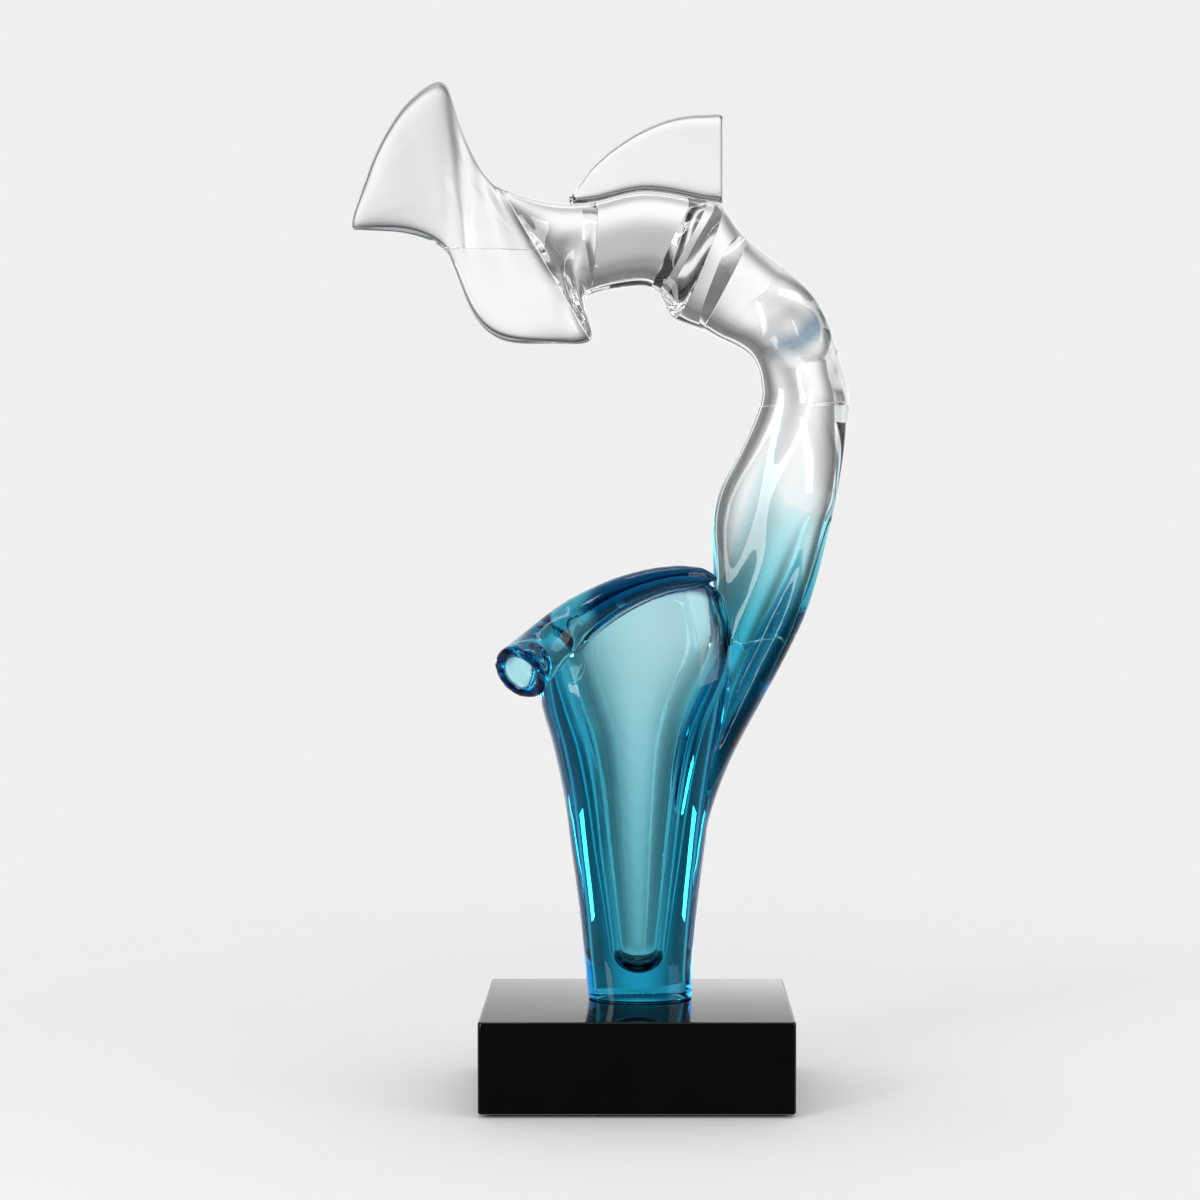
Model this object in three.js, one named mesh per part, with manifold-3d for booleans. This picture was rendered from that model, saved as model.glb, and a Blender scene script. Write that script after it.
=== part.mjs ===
// Resin wave sculpture: a thick-walled turquoise vase with a rolled lip, whose right flank sweeps up into
// a clear ribbon. The ribbon twists, arches to the left over bonded blocks, carries a fin and ends in a
// tail of two flukes. It stands on a black gloss plinth with felt under it.
// Millimetres, +Z up, the viewer in front at -Y. The origin is the middle of the felt's underside.
import * as THREE from "three";
import Module from "manifold-3d";

const wasm = await Module();
wasm.setup();

// Plinth and its felt
const PLINTH_WIDTH = 200;
const PLINTH_DEPTH = 130;
const PLINTH_HEIGHT = 58;
const PLINTH_CORNER = 3; // radius of the upright edges
const PLINTH_EDGE = 1.5; // rounding of the top and bottom edges
const FELT_THICKNESS = 2;
const FELT_INSET = 5; // from the plinth's sides to the felt's edge

// Where the sculpture stands on the plinth, and what bonds it
const FOOT_X = 2;
const FOOT_Y = 8;
const BED_THICKNESS = 0.5; // adhesive under the foot
const BED_INSET = 1; // from the foot's lower edge to the adhesive's edge
const BOND_GAP = 0.3; // cement line between two cast pieces
const SLIVER = 0.08; // detail this fine is left out of a cut piece

// Vase
const FOOT_WIDTH = 68;
const FOOT_DEPTH = 48;
const FOOT_EDGE = 1; // rounding round the foot
const FLOOR_THICKNESS = 17; // solid resin under the hollow
const HOLLOW_ROUND = 14; // height of the hollow's rounded bottom
const FRONT_WALL_LOW = 11; // front and back wall at the hollow's floor and at the mouth
const FRONT_WALL_HIGH = 4;
const MOUTH_HEIGHT = 232.5; // between the low left end of the rim and its high right end
const MOUTH_TILT = 24; // how far the rim's right end stands above that
const MOUTH_CREST = 38.5; // how far the rim's front and back stand above that
const MOUTH_ROUND = 0.15; // how softly the rim dips at its ends

// Rolled lip
const LIP_DIAMETER = 38; // at the drawn-out end
const LIP_BORE = 22;
const LIP_BORE_DEPTH = 24;
const LIP_BORE_TIP = 0.15; // share of the bore's depth that its round end takes
const LIP_BORE_BLUNT = 0.6; // below 1 the bore widens fast from that end
const LIP_EDGE = 2; // rounding round the lip's mouth

// Wave
const NECK_THICKNESS = 30;
const ARCH_THICKNESS = 40;
const TAIL_THICKNESS = 10;
const FLUKE_RISE = 2.5; // from the notch's corner up to where the tail's flukes meet
const FIN_THICKNESS = 8;
const FIN_HEIGHT = 60; // at its upright end
const FIN_BEVEL = 3; // by how much its front face is the narrower one at each edge
const CORE_SKIN = 3; // clear resin between a colour core and the vase

const turquoise = { color: 0x1a93ab, roughness: 0.06, metalness: 0, transparent: true, opacity: 0.75 };
const deepBlue = { color: 0x0b4a72, roughness: 0.06, metalness: 0, transparent: true, opacity: 0.85 };
const clear = { color: 0xdfe6ea, roughness: 0.05, metalness: 0, transparent: true, opacity: 0.45 };
const black = { color: 0x0c0c0d, roughness: 0.08, metalness: 0 };
const felt = { color: 0x1b1c1e, roughness: 0.95, metalness: 0 };
const cement = { color: 0xd5dcdf, roughness: 0.3, metalness: 0, transparent: true, opacity: 0.6 };

function part(name, geometry, look) {
  const mesh = new THREE.Mesh(geometry, new THREE.MeshStandardMaterial(look));
  mesh.name = name;
  return mesh;
}

function ringMiddle(points) {
  return points.reduce((sum, point) => sum.add(point), new THREE.Vector3()).divideScalar(points.length);
}

// A closed skin over rings of equally many points, with a fan over each end.
function skin(rings) {
  const sides = rings[0].length;
  const points = [...rings.flat(), ringMiddle(rings[0]), ringMiddle(rings.at(-1))];
  const triangles = [];
  const lastRing = (rings.length - 1) * sides;
  const ends = rings.length * sides;
  for (let side = 0; side < sides; side += 1) {
    const next = (side + 1) % sides;
    for (let low = 0; low < lastRing; low += sides) {
      const high = low + sides;
      triangles.push(low + side, low + next, high + next, low + side, high + next, high + side);
    }
    triangles.push(ends, next, side, ends + 1, lastRing + side, lastRing + next);
  }
  const geometry = new THREE.BufferGeometry().setFromPoints(points);
  geometry.setIndex(triangles);
  return geometry;
}

function toSolid(geometry) {
  const vertProperties = new Float32Array(geometry.getAttribute("position").array);
  const triVerts = new Uint32Array(geometry.getIndex().array);
  return new wasm.Manifold(new wasm.Mesh({ numProp: 3, vertProperties, triVerts }));
}

// Cuts leave slivers where two forms nearly meet; they are merged away.
function toGeometry(solid) {
  const { vertProperties, triVerts } = solid.simplify(SLIVER).getMesh();
  const geometry = new THREE.BufferGeometry();
  geometry.setAttribute("position", new THREE.BufferAttribute(vertProperties, 3));
  geometry.setIndex(new THREE.BufferAttribute(triVerts, 1));
  return geometry;
}

// Smooth values between rows of numbers, by row number or by the rows' own positions.
function smoothRows(rows, positions = rows.map((row, index) => index)) {
  const curve = new THREE.CubicInterpolant(positions, rows.flat(), rows[0].length);
  return (place) => [...curve.evaluate(place)];
}

// Values in straight lines between pairs of a position and a value.
function straight(pairs) {
  const positions = pairs.map(([position]) => position);
  const curve = new THREE.LinearInterpolant(positions, pairs.map(([, value]) => value), 1);
  return (place) => curve.evaluate(place)[0];
}

const signedPower = (value, power) => Math.sign(value) * Math.abs(value) ** power;

// A point on a cut across a swept piece, u of the way out across it and v of the way to its back. A row
// holds the inner edge x, z and the outer edge x, z as the front shows them, the middle's y, how far the
// outer edge leans back, how far both edges bow back, half the thickness, the squareness (2 is an ellipse)
// and by how much the front face is the narrower one at each edge. grow swells the cut, shift moves it
// along the sweep.
function cutPoint(row, u, v, grow = 0, shift = 0) {
  const [innerX, innerZ, outerX, outerZ, y, lean, bow, half, , bevel = 0] = row;
  const reach = new THREE.Vector3(outerX - innerX, 0, outerZ - innerZ).multiplyScalar(0.5);
  const across = reach.clone().normalize();
  const along = new THREE.Vector3(-across.z, 0, across.x);
  const back = lean * u + bow * u * u + (half + grow) * v;
  const middle = new THREE.Vector3((innerX + outerX) / 2, y + back, (innerZ + outerZ) / 2);
  const width = reach.length() + grow - (bevel * (1 - v)) / 2;
  return middle.addScaledVector(across, width * u).addScaledVector(along, shift);
}

// A ring of points, each worked out from its u and v on a rounded square of a squareness.
function ring(sides, square, pointAt) {
  return Array.from({ length: sides }, (unused, side) => {
    const angle = (side / sides) * 2 * Math.PI;
    const u = signedPower(Math.cos(angle), 2 / square);
    const v = signedPower(Math.sin(angle), 2 / square);
    return pointAt(u, v);
  });
}

function cutRing(row, sides) {
  const square = row[8];
  return ring(sides, square, (u, v) => cutPoint(row, u, v));
}

// The plinth's outline, drawn in by an inset, with round corners.
function plinthOutline(inset) {
  const radius = PLINTH_CORNER;
  const x = PLINTH_WIDTH / 2 - inset - radius;
  const y = PLINTH_DEPTH / 2 - inset - radius;
  const outline = new THREE.Shape();
  outline.absarc(x, y, radius, 0, Math.PI / 2);
  outline.absarc(-x, y, radius, Math.PI / 2, Math.PI);
  outline.absarc(-x, -y, radius, Math.PI, 1.5 * Math.PI);
  outline.absarc(x, -y, radius, 1.5 * Math.PI, 2 * Math.PI);
  return outline;
}

// Plinth: a block with small rounded edges.
function plinthGeometry() {
  const geometry = new THREE.ExtrudeGeometry(plinthOutline(PLINTH_EDGE), {
    depth: PLINTH_HEIGHT - 2 * PLINTH_EDGE,
    bevelThickness: PLINTH_EDGE,
    bevelSize: PLINTH_EDGE,
    bevelSegments: 3,
    curveSegments: 5,
  });
  return geometry.translate(0, 0, PLINTH_EDGE);
}

function feltGeometry() {
  const sheet = { depth: FELT_THICKNESS, bevelEnabled: false, curveSegments: 5 };
  return new THREE.ExtrudeGeometry(plinthOutline(FELT_INSET), sheet);
}

// Vase rows: height, how far the left side, the right side and the front flare out past the foot.
const vaseFlare = [
  [0, -FOOT_EDGE, -FOOT_EDGE, -FOOT_EDGE],
  [FOOT_EDGE, 0, 0, 0],
  [21, 2.5, 0.5, 1],
  [60, 6.5, 4, 3],
  [100, 12, 9, 6],
  [130, 16, 13, 8],
  [169, 24.5, 20, 11],
  [189, 30.5, 24, 12],
  [210, 34, 27.5, 12.5],
  [235, 34, 28, 13],
  [262, 32.5, 21, 13],
  [300, 30, 14, 13],
];
const VASE_SQUARENESS = 2.15;
const VASE_SIDES = 40;

function vaseRow(z, leftFlare, rightFlare, frontFlare) {
  const left = -FOOT_WIDTH / 2 - leftFlare;
  const right = FOOT_WIDTH / 2 + rightFlare;
  return [left, z, right, z, 0, 0, 0, FOOT_DEPTH / 2 + frontFlare, VASE_SQUARENESS];
}

const vaseHeights = vaseFlare.map(([z]) => z);
const vaseTop = vaseHeights.at(-1);
const vaseAt = smoothRows(vaseFlare.map((flare) => vaseRow(...flare)), vaseHeights);

const mouthSection = vaseAt(MOUTH_HEIGHT);
const mouthMiddle = (mouthSection[0] + mouthSection[2]) / 2;
const mouthHalfWidth = (mouthSection[2] - mouthSection[0]) / 2;
const mouthHalfDepth = mouthSection[7];

// The rim's height by the angle round it, from its right end.
function rimHeight(angle) {
  const crest = Math.hypot(Math.sin(angle), MOUTH_ROUND);
  return MOUTH_HEIGHT + MOUTH_TILT * Math.cos(angle) + MOUTH_CREST * crest;
}

// One ring round the vase's outside. Rings lie flat at the foot and follow the rim's sweep at the top.
function vaseRing(level, grow) {
  const sweepShare = (level / MOUTH_HEIGHT) ** 3;
  const lift = level === MOUTH_HEIGHT ? grow : 0;
  return Array.from({ length: VASE_SIDES }, (unused, side) => {
    const angle = (side / VASE_SIDES) * 2 * Math.PI;
    const z = level + sweepShare * (rimHeight(angle) - MOUTH_HEIGHT);
    const [left, , right, , , , , half, square] = vaseAt(z);
    const x = (left + right) / 2 + ((right - left) / 2 + grow) * signedPower(Math.cos(angle), 2 / square);
    const y = (half + grow) * signedPower(Math.sin(angle), 2 / square);
    return new THREE.Vector3(x, y, z + lift);
  });
}

// The vase's outside, from the foot to the rim.
function vaseOutside(grow) {
  const lower = vaseHeights.filter((z) => z < MOUTH_HEIGHT);
  const levels = [...lower, MOUTH_HEIGHT];
  const halfway = levels.slice(1).map((z, index) => (z + levels[index]) / 2);
  const all = [...levels, ...halfway].sort((a, b) => a - b);
  return toSolid(skin(all.map((level) => vaseRing(level, grow))));
}

// Hollow rows: height and the thickness of the left and the right wall, which thin out as the bowl opens.
const sideWalls = [
  [FLOOR_THICKNESS, 21, 21],
  [60, 20, 20],
  [120, 20, 20],
  [180, 21, 19],
  [203, 19, 14],
  [225, 15, 8],
  [250, 11, 5],
  [300, 8, 5],
];
const sideWallsAt = smoothRows(sideWalls.map((row) => row.slice(1)), sideWalls.map(([z]) => z));

// The hollow follows the outside at the walls' thickness and ends in a round bottom. inset draws it in.
function hollowSolid(inset) {
  const hollowRing = (z, round) => {
    const [left, , right, , , , , half] = vaseAt(z);
    const [leftWall, rightWall] = sideWallsAt(z);
    const climb = Math.min(1, (z - FLOOR_THICKNESS) / (MOUTH_HEIGHT - FLOOR_THICKNESS));
    const front = THREE.MathUtils.lerp(FRONT_WALL_LOW, FRONT_WALL_HIGH, climb);
    const middle = (left + leftWall + right - rightWall) / 2;
    const width = ((right - rightWall - left - leftWall) / 2 - inset) * round;
    const depth = (half - front - inset) * round;
    return cutRing([middle - width, z, middle + width, z, 0, 0, 0, depth, VASE_SQUARENESS], VASE_SIDES);
  };
  const rings = [];
  const roundSteps = 6;
  for (let step = 1; step <= roundSteps; step += 1) {
    const angle = ((step / roundSteps) * Math.PI) / 2;
    rings.push(hollowRing(FLOOR_THICKNESS + HOLLOW_ROUND * (1 - Math.cos(angle)), Math.sin(angle)));
  }
  const roundTop = FLOOR_THICKNESS + HOLLOW_ROUND;
  const risingSteps = 18;
  for (let step = 1; step <= risingSteps; step += 1) {
    rings.push(hollowRing(THREE.MathUtils.lerp(roundTop, vaseTop, step / risingSteps), 1));
  }
  return toSolid(skin(rings));
}

// Wave rows, piece by piece. The first row of each list is the bond with the piece before it.
const neckHalf = NECK_THICKNESS / 2;
const archHalf = ARCH_THICKNESS / 2;
const tailHalf = TAIL_THICKNESS / 2;
const flankRows = [
  [5, 75, 36, 80, 0, 0, 0, neckHalf, 2.2, 0],
  [15, 122, 50, 131, 1, 0, 0, neckHalf + 4, 2.2, 0],
  [24, 160, 67, 170, 2, 0, 0, neckHalf + 6, 2.2, 0],
  [31, 196, 85, 203, 3, -2, 0, neckHalf + 6, 2.2, 0],
];
const neckLowerRows = [
  [39, 228, 103, 238, 4, -4, 0, neckHalf + 5, 2.2, 0],
  [45, 255, 115.5, 272, 4, -6, 0, neckHalf + 3, 2.2, 0],
  [48.5, 277, 127, 318.5, 4, -7, 0, neckHalf + 1, 2.2, 0],
  [48, 310, 130.5, 336, 3, -8, 0, neckHalf - 1, 2.2, 0],
  [54.5, 337, 133, 353, 2, -10, 0, neckHalf - 1, 2.2, 0],
  [67, 360.5, 135, 369.5, 1, -12, 0, neckHalf, 2.2, 0],
];
const neckUpperRows = [
  [79, 388.5, 136.5, 390.5, 0, -13, 0, neckHalf + 2, 2.2, 0],
  [80.5, 402.5, 134.5, 403.5, -1, -13, 0, neckHalf + 3, 2.3, 0],
  [78, 415, 131, 415.5, -2, -12, 0, neckHalf + 3, 2.4, 0],
  [69.5, 425, 125.5, 434.5, -3, -9, 0, neckHalf + 3, 2.6, 0],
  [57, 431, 114.5, 458, -4, -6, 0, archHalf, 2.8, 0],
  [47.5, 435.5, 95, 477.5, -4, -4, 0, archHalf, 3, 0],
];
const shoulderRows = [[39.5, 439, 67, 501, -4, -2, 0, archHalf, 3.2, 0]];
const wedgeRows = [[21, 447, 54, 520, -4, 0, 0, archHalf - 2, 3.2, 0]];
const blockRows = [
  [10, 464.5, 41.5, 523, -4, 0, 0, archHalf - 4, 3.2, 0],
  [-10, 466.5, 4, 529, -4, 0, 0, archHalf - 4, 3.2, 0],
];
const linkRows = [
  [-33.5, 461, -31.5, 522, -4, 0, 0, archHalf - 5, 3.2, 0],
  [-34.5, 447, -66, 524, -6, 8, 0, archHalf - 6, 3, 0],
];
const tailRows = [
  [-32.5, 430.5, -92, 533, -8, 13, 4, tailHalf + 3, 3.2, 0],
  [-52.5, 427.5, -99, 538, -9.5, 14, 5, tailHalf + 1, 5, 2],
  [-72, 427.5, -106, 547.5, -11, 14, 7, tailHalf, 8, 4],
  [-90, 430, -113, 561, -13, 13, 8, tailHalf, 8, 5],
  [-104, 440, -119.5, 577, -15, 11, 9, tailHalf, 8, 5],
  [-113, 455, -124.5, 594, -18, 8, 9, tailHalf, 8, 5],
  [-119, 470.5, -129.5, 602, -20, 6, 8, tailHalf, 8, 5],
  [-123, 481, -138, 600, -22.5, 4.5, 7, tailHalf, 8, 5],
  [-126.5, 487.5, -150, 589.5, -25, 3, 6, tailHalf, 8, 5],
  [-135, 493.5, -160, 576, -28, 2, 5, tailHalf, 8, 5],
  [-150, 498, -171.5, 553.5, -32, 1, 4, tailHalf, 7, 5],
  [-167.5, 499, -179, 529, -37, 0, 2, tailHalf - 1, 5, 4],
  [-179.5, 499, -183.5, 511, -40, 0, 0, tailHalf - 2, 3, 2],
  [-183, 499.5, -184.5, 502.5, -41, 0, 0, tailHalf - 3, 2.5, 0.5],
];
const notchRow = 8; // of the tail's rows
const waveLists = [
  flankRows,
  neckLowerRows,
  neckUpperRows,
  shoulderRows,
  wedgeRows,
  blockRows,
  linkRows,
  tailRows,
];
const waveAt = smoothRows(waveLists.flat());
const waveStarts = [];
let waveRowCount = 0;
for (const list of waveLists) {
  waveStarts.push(waveRowCount);
  waveRowCount += list.length;
}
const [flankStart, neckStart, elbowStart, shoulderStart] = waveStarts;
const [wedgeStart, blockStart, linkStart, tailStart] = waveStarts.slice(4);
const waveEnd = waveRowCount - 1;
const WAVE_SIDES = 36;

// How far, in rows, the back of a cut runs ahead of its front: the bonds slant through the arch.
const slantAt = straight([
  [flankStart, 0],
  [neckStart - 1, 0],
  [neckStart, -0.025],
  [neckStart + 1, 0],
  [shoulderStart - 1, 0],
  [shoulderStart, 0.2],
  [wedgeStart, 0.3],
  [blockStart, 0.25],
  [linkStart, 0.15],
  [linkStart + 1, 0],
  [waveEnd, 0],
]);

// By how much the wave is thicker at its outer edge than in its middle, as a share.
const crownAt = straight([
  [flankStart, 0],
  [shoulderStart - 1, 0],
  [shoulderStart, 0.1],
  [wedgeStart, 0.2],
  [blockStart, 0.3],
  [linkStart, 0.3],
  [tailStart, 0],
  [waveEnd, 0],
]);

// Folds run along the wave's front where the soft resin was drawn, and its elbow is dimpled at the back.
// A row holds the place along the wave, the fold's middle across it, its half width and its depth.
const neckFold = [
  [neckStart - 0.5, -0.9, 0.35, 0],
  [neckStart + 1, -0.75, 0.35, 3],
  [neckStart + 2, -0.58, 0.35, 3.5],
  [neckStart + 3.5, -0.4, 0.35, 3.5],
  [neckStart + 5, -0.4, 0.35, 3.5],
  [elbowStart + 0.5, -0.45, 0.3, 4],
  [elbowStart + 2, -0.55, 0.3, 3],
  [elbowStart + 3, -0.65, 0.3, 0],
];
const flankFold = [
  [flankStart + 0.3, 0.1, 0.25, 0],
  [flankStart + 1.5, 0.1, 0.25, 7],
  [flankStart + 3, 0.12, 0.25, 10],
  [neckStart + 0.5, 0.25, 0.25, 9],
  [neckStart + 1.5, 0.42, 0.25, 5],
  [neckStart + 2.5, 0.6, 0.25, 0],
];
const linkFold = [
  [linkStart + 0.2, 0.2, 0.3, 0],
  [linkStart + 0.7, 0.05, 0.28, 4],
  [linkStart + 1.2, -0.15, 0.28, 6],
  [linkStart + 1.7, -0.4, 0.28, 5],
  [tailStart + 0.2, -0.6, 0.28, 3],
  [tailStart + 0.8, -0.75, 0.3, 0],
];
const elbowDimple = [
  [elbowStart + 2.2, 0.5, 0.4, 0],
  [elbowStart + 3, 0.45, 0.4, 6],
  [elbowStart + 3.7, 0.42, 0.4, 8],
  [elbowStart + 4.3, 0.4, 0.4, 5],
  [elbowStart + 5, 0.4, 0.4, 0],
];

function fold(side, rows) {
  const places = rows.map(([place]) => place);
  const at = smoothRows(rows.map((row) => row.slice(1)), places);
  return { side, first: places[0], last: places.at(-1), at };
}

const folds = [fold(-1, neckFold), fold(-1, flankFold), fold(-1, linkFold), fold(1, elbowDimple)];

// A point of the wave at a place along it, u of the way out across it and v of the way to its back.
function wavePoint(place, u, v, grow = 0, shift = 0) {
  const here = THREE.MathUtils.clamp(place + slantAt(place) * v, flankStart, waveEnd);
  const point = cutPoint(waveAt(here), u, v * (1 + crownAt(here) * u), grow, shift);
  for (const { side, first, last, at } of folds) {
    if (here > first && here < last && side * v > 0) {
      const [middle, width, depth] = at(here);
      point.y -= depth * Math.exp(-(((u - middle) / width) ** 2)) * v;
    }
  }
  return point;
}

// Half a bond, measured along the sweep where a slanted cut crosses it.
function halfBond(place) {
  const slant = slantAt(place);
  const ahead = cutPoint(waveAt(place + slant), 0, 0).setY(0);
  const behind = cutPoint(waveAt(place - slant), 0, 0).setY(0);
  const half = waveAt(place)[7];
  return (BOND_GAP / 2) * Math.hypot(1, ahead.distanceTo(behind) / 2 / half);
}

// A stretch of the wave, drawn in by half a bond at each end that meets another piece.
function wavePiece(from, to, stepsPerRow, grow = 0) {
  const steps = Math.round((to - from) * stepsPerRow);
  const rings = Array.from({ length: steps + 1 }, (unused, step) => {
    const place = from + ((to - from) * step) / steps;
    let shift = 0;
    if (step === 0 && from !== flankStart) shift = halfBond(from);
    if (step === steps && to !== waveEnd) shift = -halfBond(to);
    const square = waveAt(place)[8];
    return ring(WAVE_SIDES, square, (u, v) => wavePoint(place, u, v, grow, shift));
  });
  return skin(rings);
}

// Colour cores: dyed resin inside the wave, each standing on the bond between the flank and the neck. A row
// holds the place along the wave and how far the core reaches across it, from and to, and from the front to
// the back, from and to.
const neckCoreRows = [
  [neckStart, -0.86, 0.86, -0.7, 0.86],
  [neckStart + 0.6, -0.86, 0.86, -0.6, 0.86],
  [neckStart + 1.3, -0.84, 0.86, -0.4, 0.86],
  [neckStart + 2, -0.7, 0.82, -0.2, 0.84],
  [neckStart + 2.5, -0.62, 0.5, 0, 0.82],
  [neckStart + 3, -0.53, 0.2, 0.12, 0.8],
  [neckStart + 3.6, -0.45, 0.05, 0.25, 0.75],
  [neckStart + 4.5, -0.38, -0.05, 0.35, 0.7],
  [neckStart + 5.6, -0.3, -0.12, 0.42, 0.62],
];
const innerCoreRows = [
  [neckStart, -0.04, 0.74, -0.35, 0.62],
  [neckStart + 0.5, 0.1, 0.74, -0.3, 0.58],
  [neckStart + 0.9, 0.25, 0.74, -0.2, 0.52],
  [neckStart + 1.3, 0.42, 0.7, -0.05, 0.44],
  [neckStart + 1.6, 0.52, 0.62, 0.1, 0.3],
];
const flankCoreRows = [
  [flankStart + 1.2, 0.2, 0.5, -0.2, 0.2],
  [flankStart + 2, 0.04, 0.7, -0.35, 0.6],
  [flankStart + 3, 0, 0.74, -0.35, 0.65],
  [neckStart, -0.04, 0.74, -0.35, 0.62],
];
const CORE_LIMIT = 0.86; // share of the way to the wave's skin that the neck's core keeps within
const INNER_CORE_LIMIT = 0.76; // the same for the two deeper coloured cores
const CORE_SIDES = 20;
const CORE_STEPS = 12;

// The rings of a core that comes no nearer to the wave's skin than a limit.
function coreRings(rows, limit) {
  const places = rows.map(([place]) => place);
  const reachAt = smoothRows(rows.map((row) => row.slice(1)), places);
  const inset = (place) => (place === neckStart ? halfBond(place) : 0);
  return Array.from({ length: CORE_STEPS + 1 }, (unused, step) => {
    const place = THREE.MathUtils.lerp(places[0], places.at(-1), step / CORE_STEPS);
    const [left, right, front, back] = reachAt(place);
    const square = waveAt(place)[8];
    let shift = 0;
    if (step === 0) shift = inset(place);
    if (step === CORE_STEPS) shift = -inset(place);
    return ring(CORE_SIDES, 2, (across, deep) => {
      const u = (left + right) / 2 + ((right - left) / 2) * across;
      const v = (front + back) / 2 + ((back - front) / 2) * deep;
      const out = (Math.abs(u) ** square + Math.abs(v) ** square) ** (1 / square);
      const keep = Math.min(1, limit / out);
      return wavePoint(place, u * keep, v * keep, 0, shift);
    });
  });
}

// The pocket that holds a core: a bond wider all round, and run on at both ends, so that it is open where
// the flank and the neck meet.
function pocketRings(rings) {
  const middles = rings.map(ringMiddle);
  const last = rings.length - 1;
  return rings.map((points, index) => {
    const middle = middles[index];
    const along = new THREE.Vector3();
    if (index === 0) along.subVectors(middle, middles[1]).setLength(2 * BOND_GAP);
    if (index === last) along.subVectors(middle, middles[last - 1]).setLength(2 * BOND_GAP);
    return points.map((point) => point.clone().sub(middle).setLength(BOND_GAP).add(point).add(along));
  });
}

const neckCoreRings = coreRings(neckCoreRows, CORE_LIMIT);
const innerCoreRings = coreRings(innerCoreRows, INNER_CORE_LIMIT);
const flankCoreRings = coreRings(flankCoreRows, INNER_CORE_LIMIT);
const pocketSolid = (rings) => toSolid(skin(pocketRings(rings)));

// Vase body: the cup with the flank grown out of its right side, hollowed from the mouth.
function vaseGeometry() {
  const flank = toSolid(wavePiece(flankStart, neckStart, 3));
  const cup = vaseOutside(0).add(flank).subtract(hollowSolid(0));
  return toGeometry(cup.subtract(pocketSolid(flankCoreRings)));
}

// The neck's lower half stands on the flank and clears the vase's rim by a bond.
function neckLowerGeometry() {
  const neck = toSolid(wavePiece(neckStart, elbowStart, 3)).subtract(vaseOutside(BOND_GAP));
  return toGeometry(neck.subtract(pocketSolid(neckCoreRings).subtract(vaseOutside(CORE_SKIN))));
}

// The neck's core keeps clear of the vase and holds a deeper coloured one.
function neckCoreGeometry() {
  const core = toSolid(skin(neckCoreRings)).subtract(vaseOutside(CORE_SKIN + BOND_GAP));
  return toGeometry(core.subtract(pocketSolid(innerCoreRings)));
}

// The tail is cast as two flukes that meet just above the corner of the notch between them.
function tailGeometry(side) {
  const tail = toSolid(wavePiece(tailStart, waveEnd, 2));
  const [, notchZ] = tailRows[notchRow];
  return toGeometry(tail.trimByPlane([0, 0, side], side * (notchZ + FLUKE_RISE) + BOND_GAP / 2));
}

// Adhesive bed under the foot, between it and the plinth.
function bedGeometry() {
  const [left, , right, , y, , , half, square] = vaseAt(0);
  const row = (z) => [left + BED_INSET, z, right - BED_INSET, z, y, 0, 0, half - BED_INSET, square];
  return skin([cutRing(row(-BED_THICKNESS), VASE_SIDES), cutRing(row(0), VASE_SIDES)]);
}

// Fin rows, from its upright end to its tip: the place along the wave and the height there, as a share.
const finRows = [
  [wedgeStart, 1],
  [blockStart, 0.96],
  [blockStart + 0.5, 0.87],
  [blockStart + 1, 0.71],
  [blockStart + 1.4, 0.6],
  [blockStart + 1.7, 0.52],
  [linkStart, 0.4],
  [linkStart + 0.15, 0.29],
  [linkStart + 0.3, 0.17],
  [linkStart + 0.42, 0.06],
];

const FIN_SQUARENESS = 8;
const FIN_SIDES = 16;
const FIN_STEPS_PER_ROW = 3;

// The fin stands on the arch's crown, a bond above it.
function finGeometry() {
  const finAt = smoothRows(finRows);
  const cutAt = (row) => {
    const [place, share] = finAt(row);
    const [, , x, crown, y, , bow] = waveAt(place);
    const low = crown + BOND_GAP;
    return [x, low, x, low + FIN_HEIGHT * share, y, 0, bow, FIN_THICKNESS / 2, FIN_SQUARENESS, FIN_BEVEL];
  };
  const steps = FIN_STEPS_PER_ROW * (finRows.length - 1);
  const rings = Array.from({ length: steps + 1 }, (unused, step) => {
    return cutRing(cutAt(step / FIN_STEPS_PER_ROW), FIN_SIDES);
  });
  return skin(rings);
}

// Rolled lip: a horn over the front of the rim that leaves it at the left and ends in an open mouth.
// Each row is the angle round the rim and the horn's radius there, as a share of the drawn-out end.
const lipOnRim = [
  [36, 0.1],
  [52, 0.29],
  [75, 0.4],
  [100, 0.54],
  [125, 0.7],
];
// The drawn-out end, as steps from the last place on the rim, with its radius as a share too.
const lipDrawnOut = [
  [-13, -9, -11, 0.79],
  [-26, -18, -24, 0.9],
  [-35, -32, -33, 1],
];

function lipRows() {
  const rows = lipOnRim.map(([degrees, share]) => {
    const angle = THREE.MathUtils.degToRad(degrees);
    const x = mouthMiddle + mouthHalfWidth * Math.cos(angle);
    const y = -mouthHalfDepth * Math.sin(angle);
    return [x, y, rimHeight(angle), (share * LIP_DIAMETER) / 2];
  });
  const [rimX, rimY, rimZ] = rows.at(-1);
  for (const [x, y, z, share] of lipDrawnOut) {
    rows.push([rimX + x, rimY + y, rimZ + z, (share * LIP_DIAMETER) / 2]);
  }
  return rows;
}

const lipAt = smoothRows(lipRows());
const LIP_SIDES = 20;
const LIP_PROBE = 0.05; // how far along it, in rows, its direction is measured
const lipEnd = lipOnRim.length + lipDrawnOut.length - 1;

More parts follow.
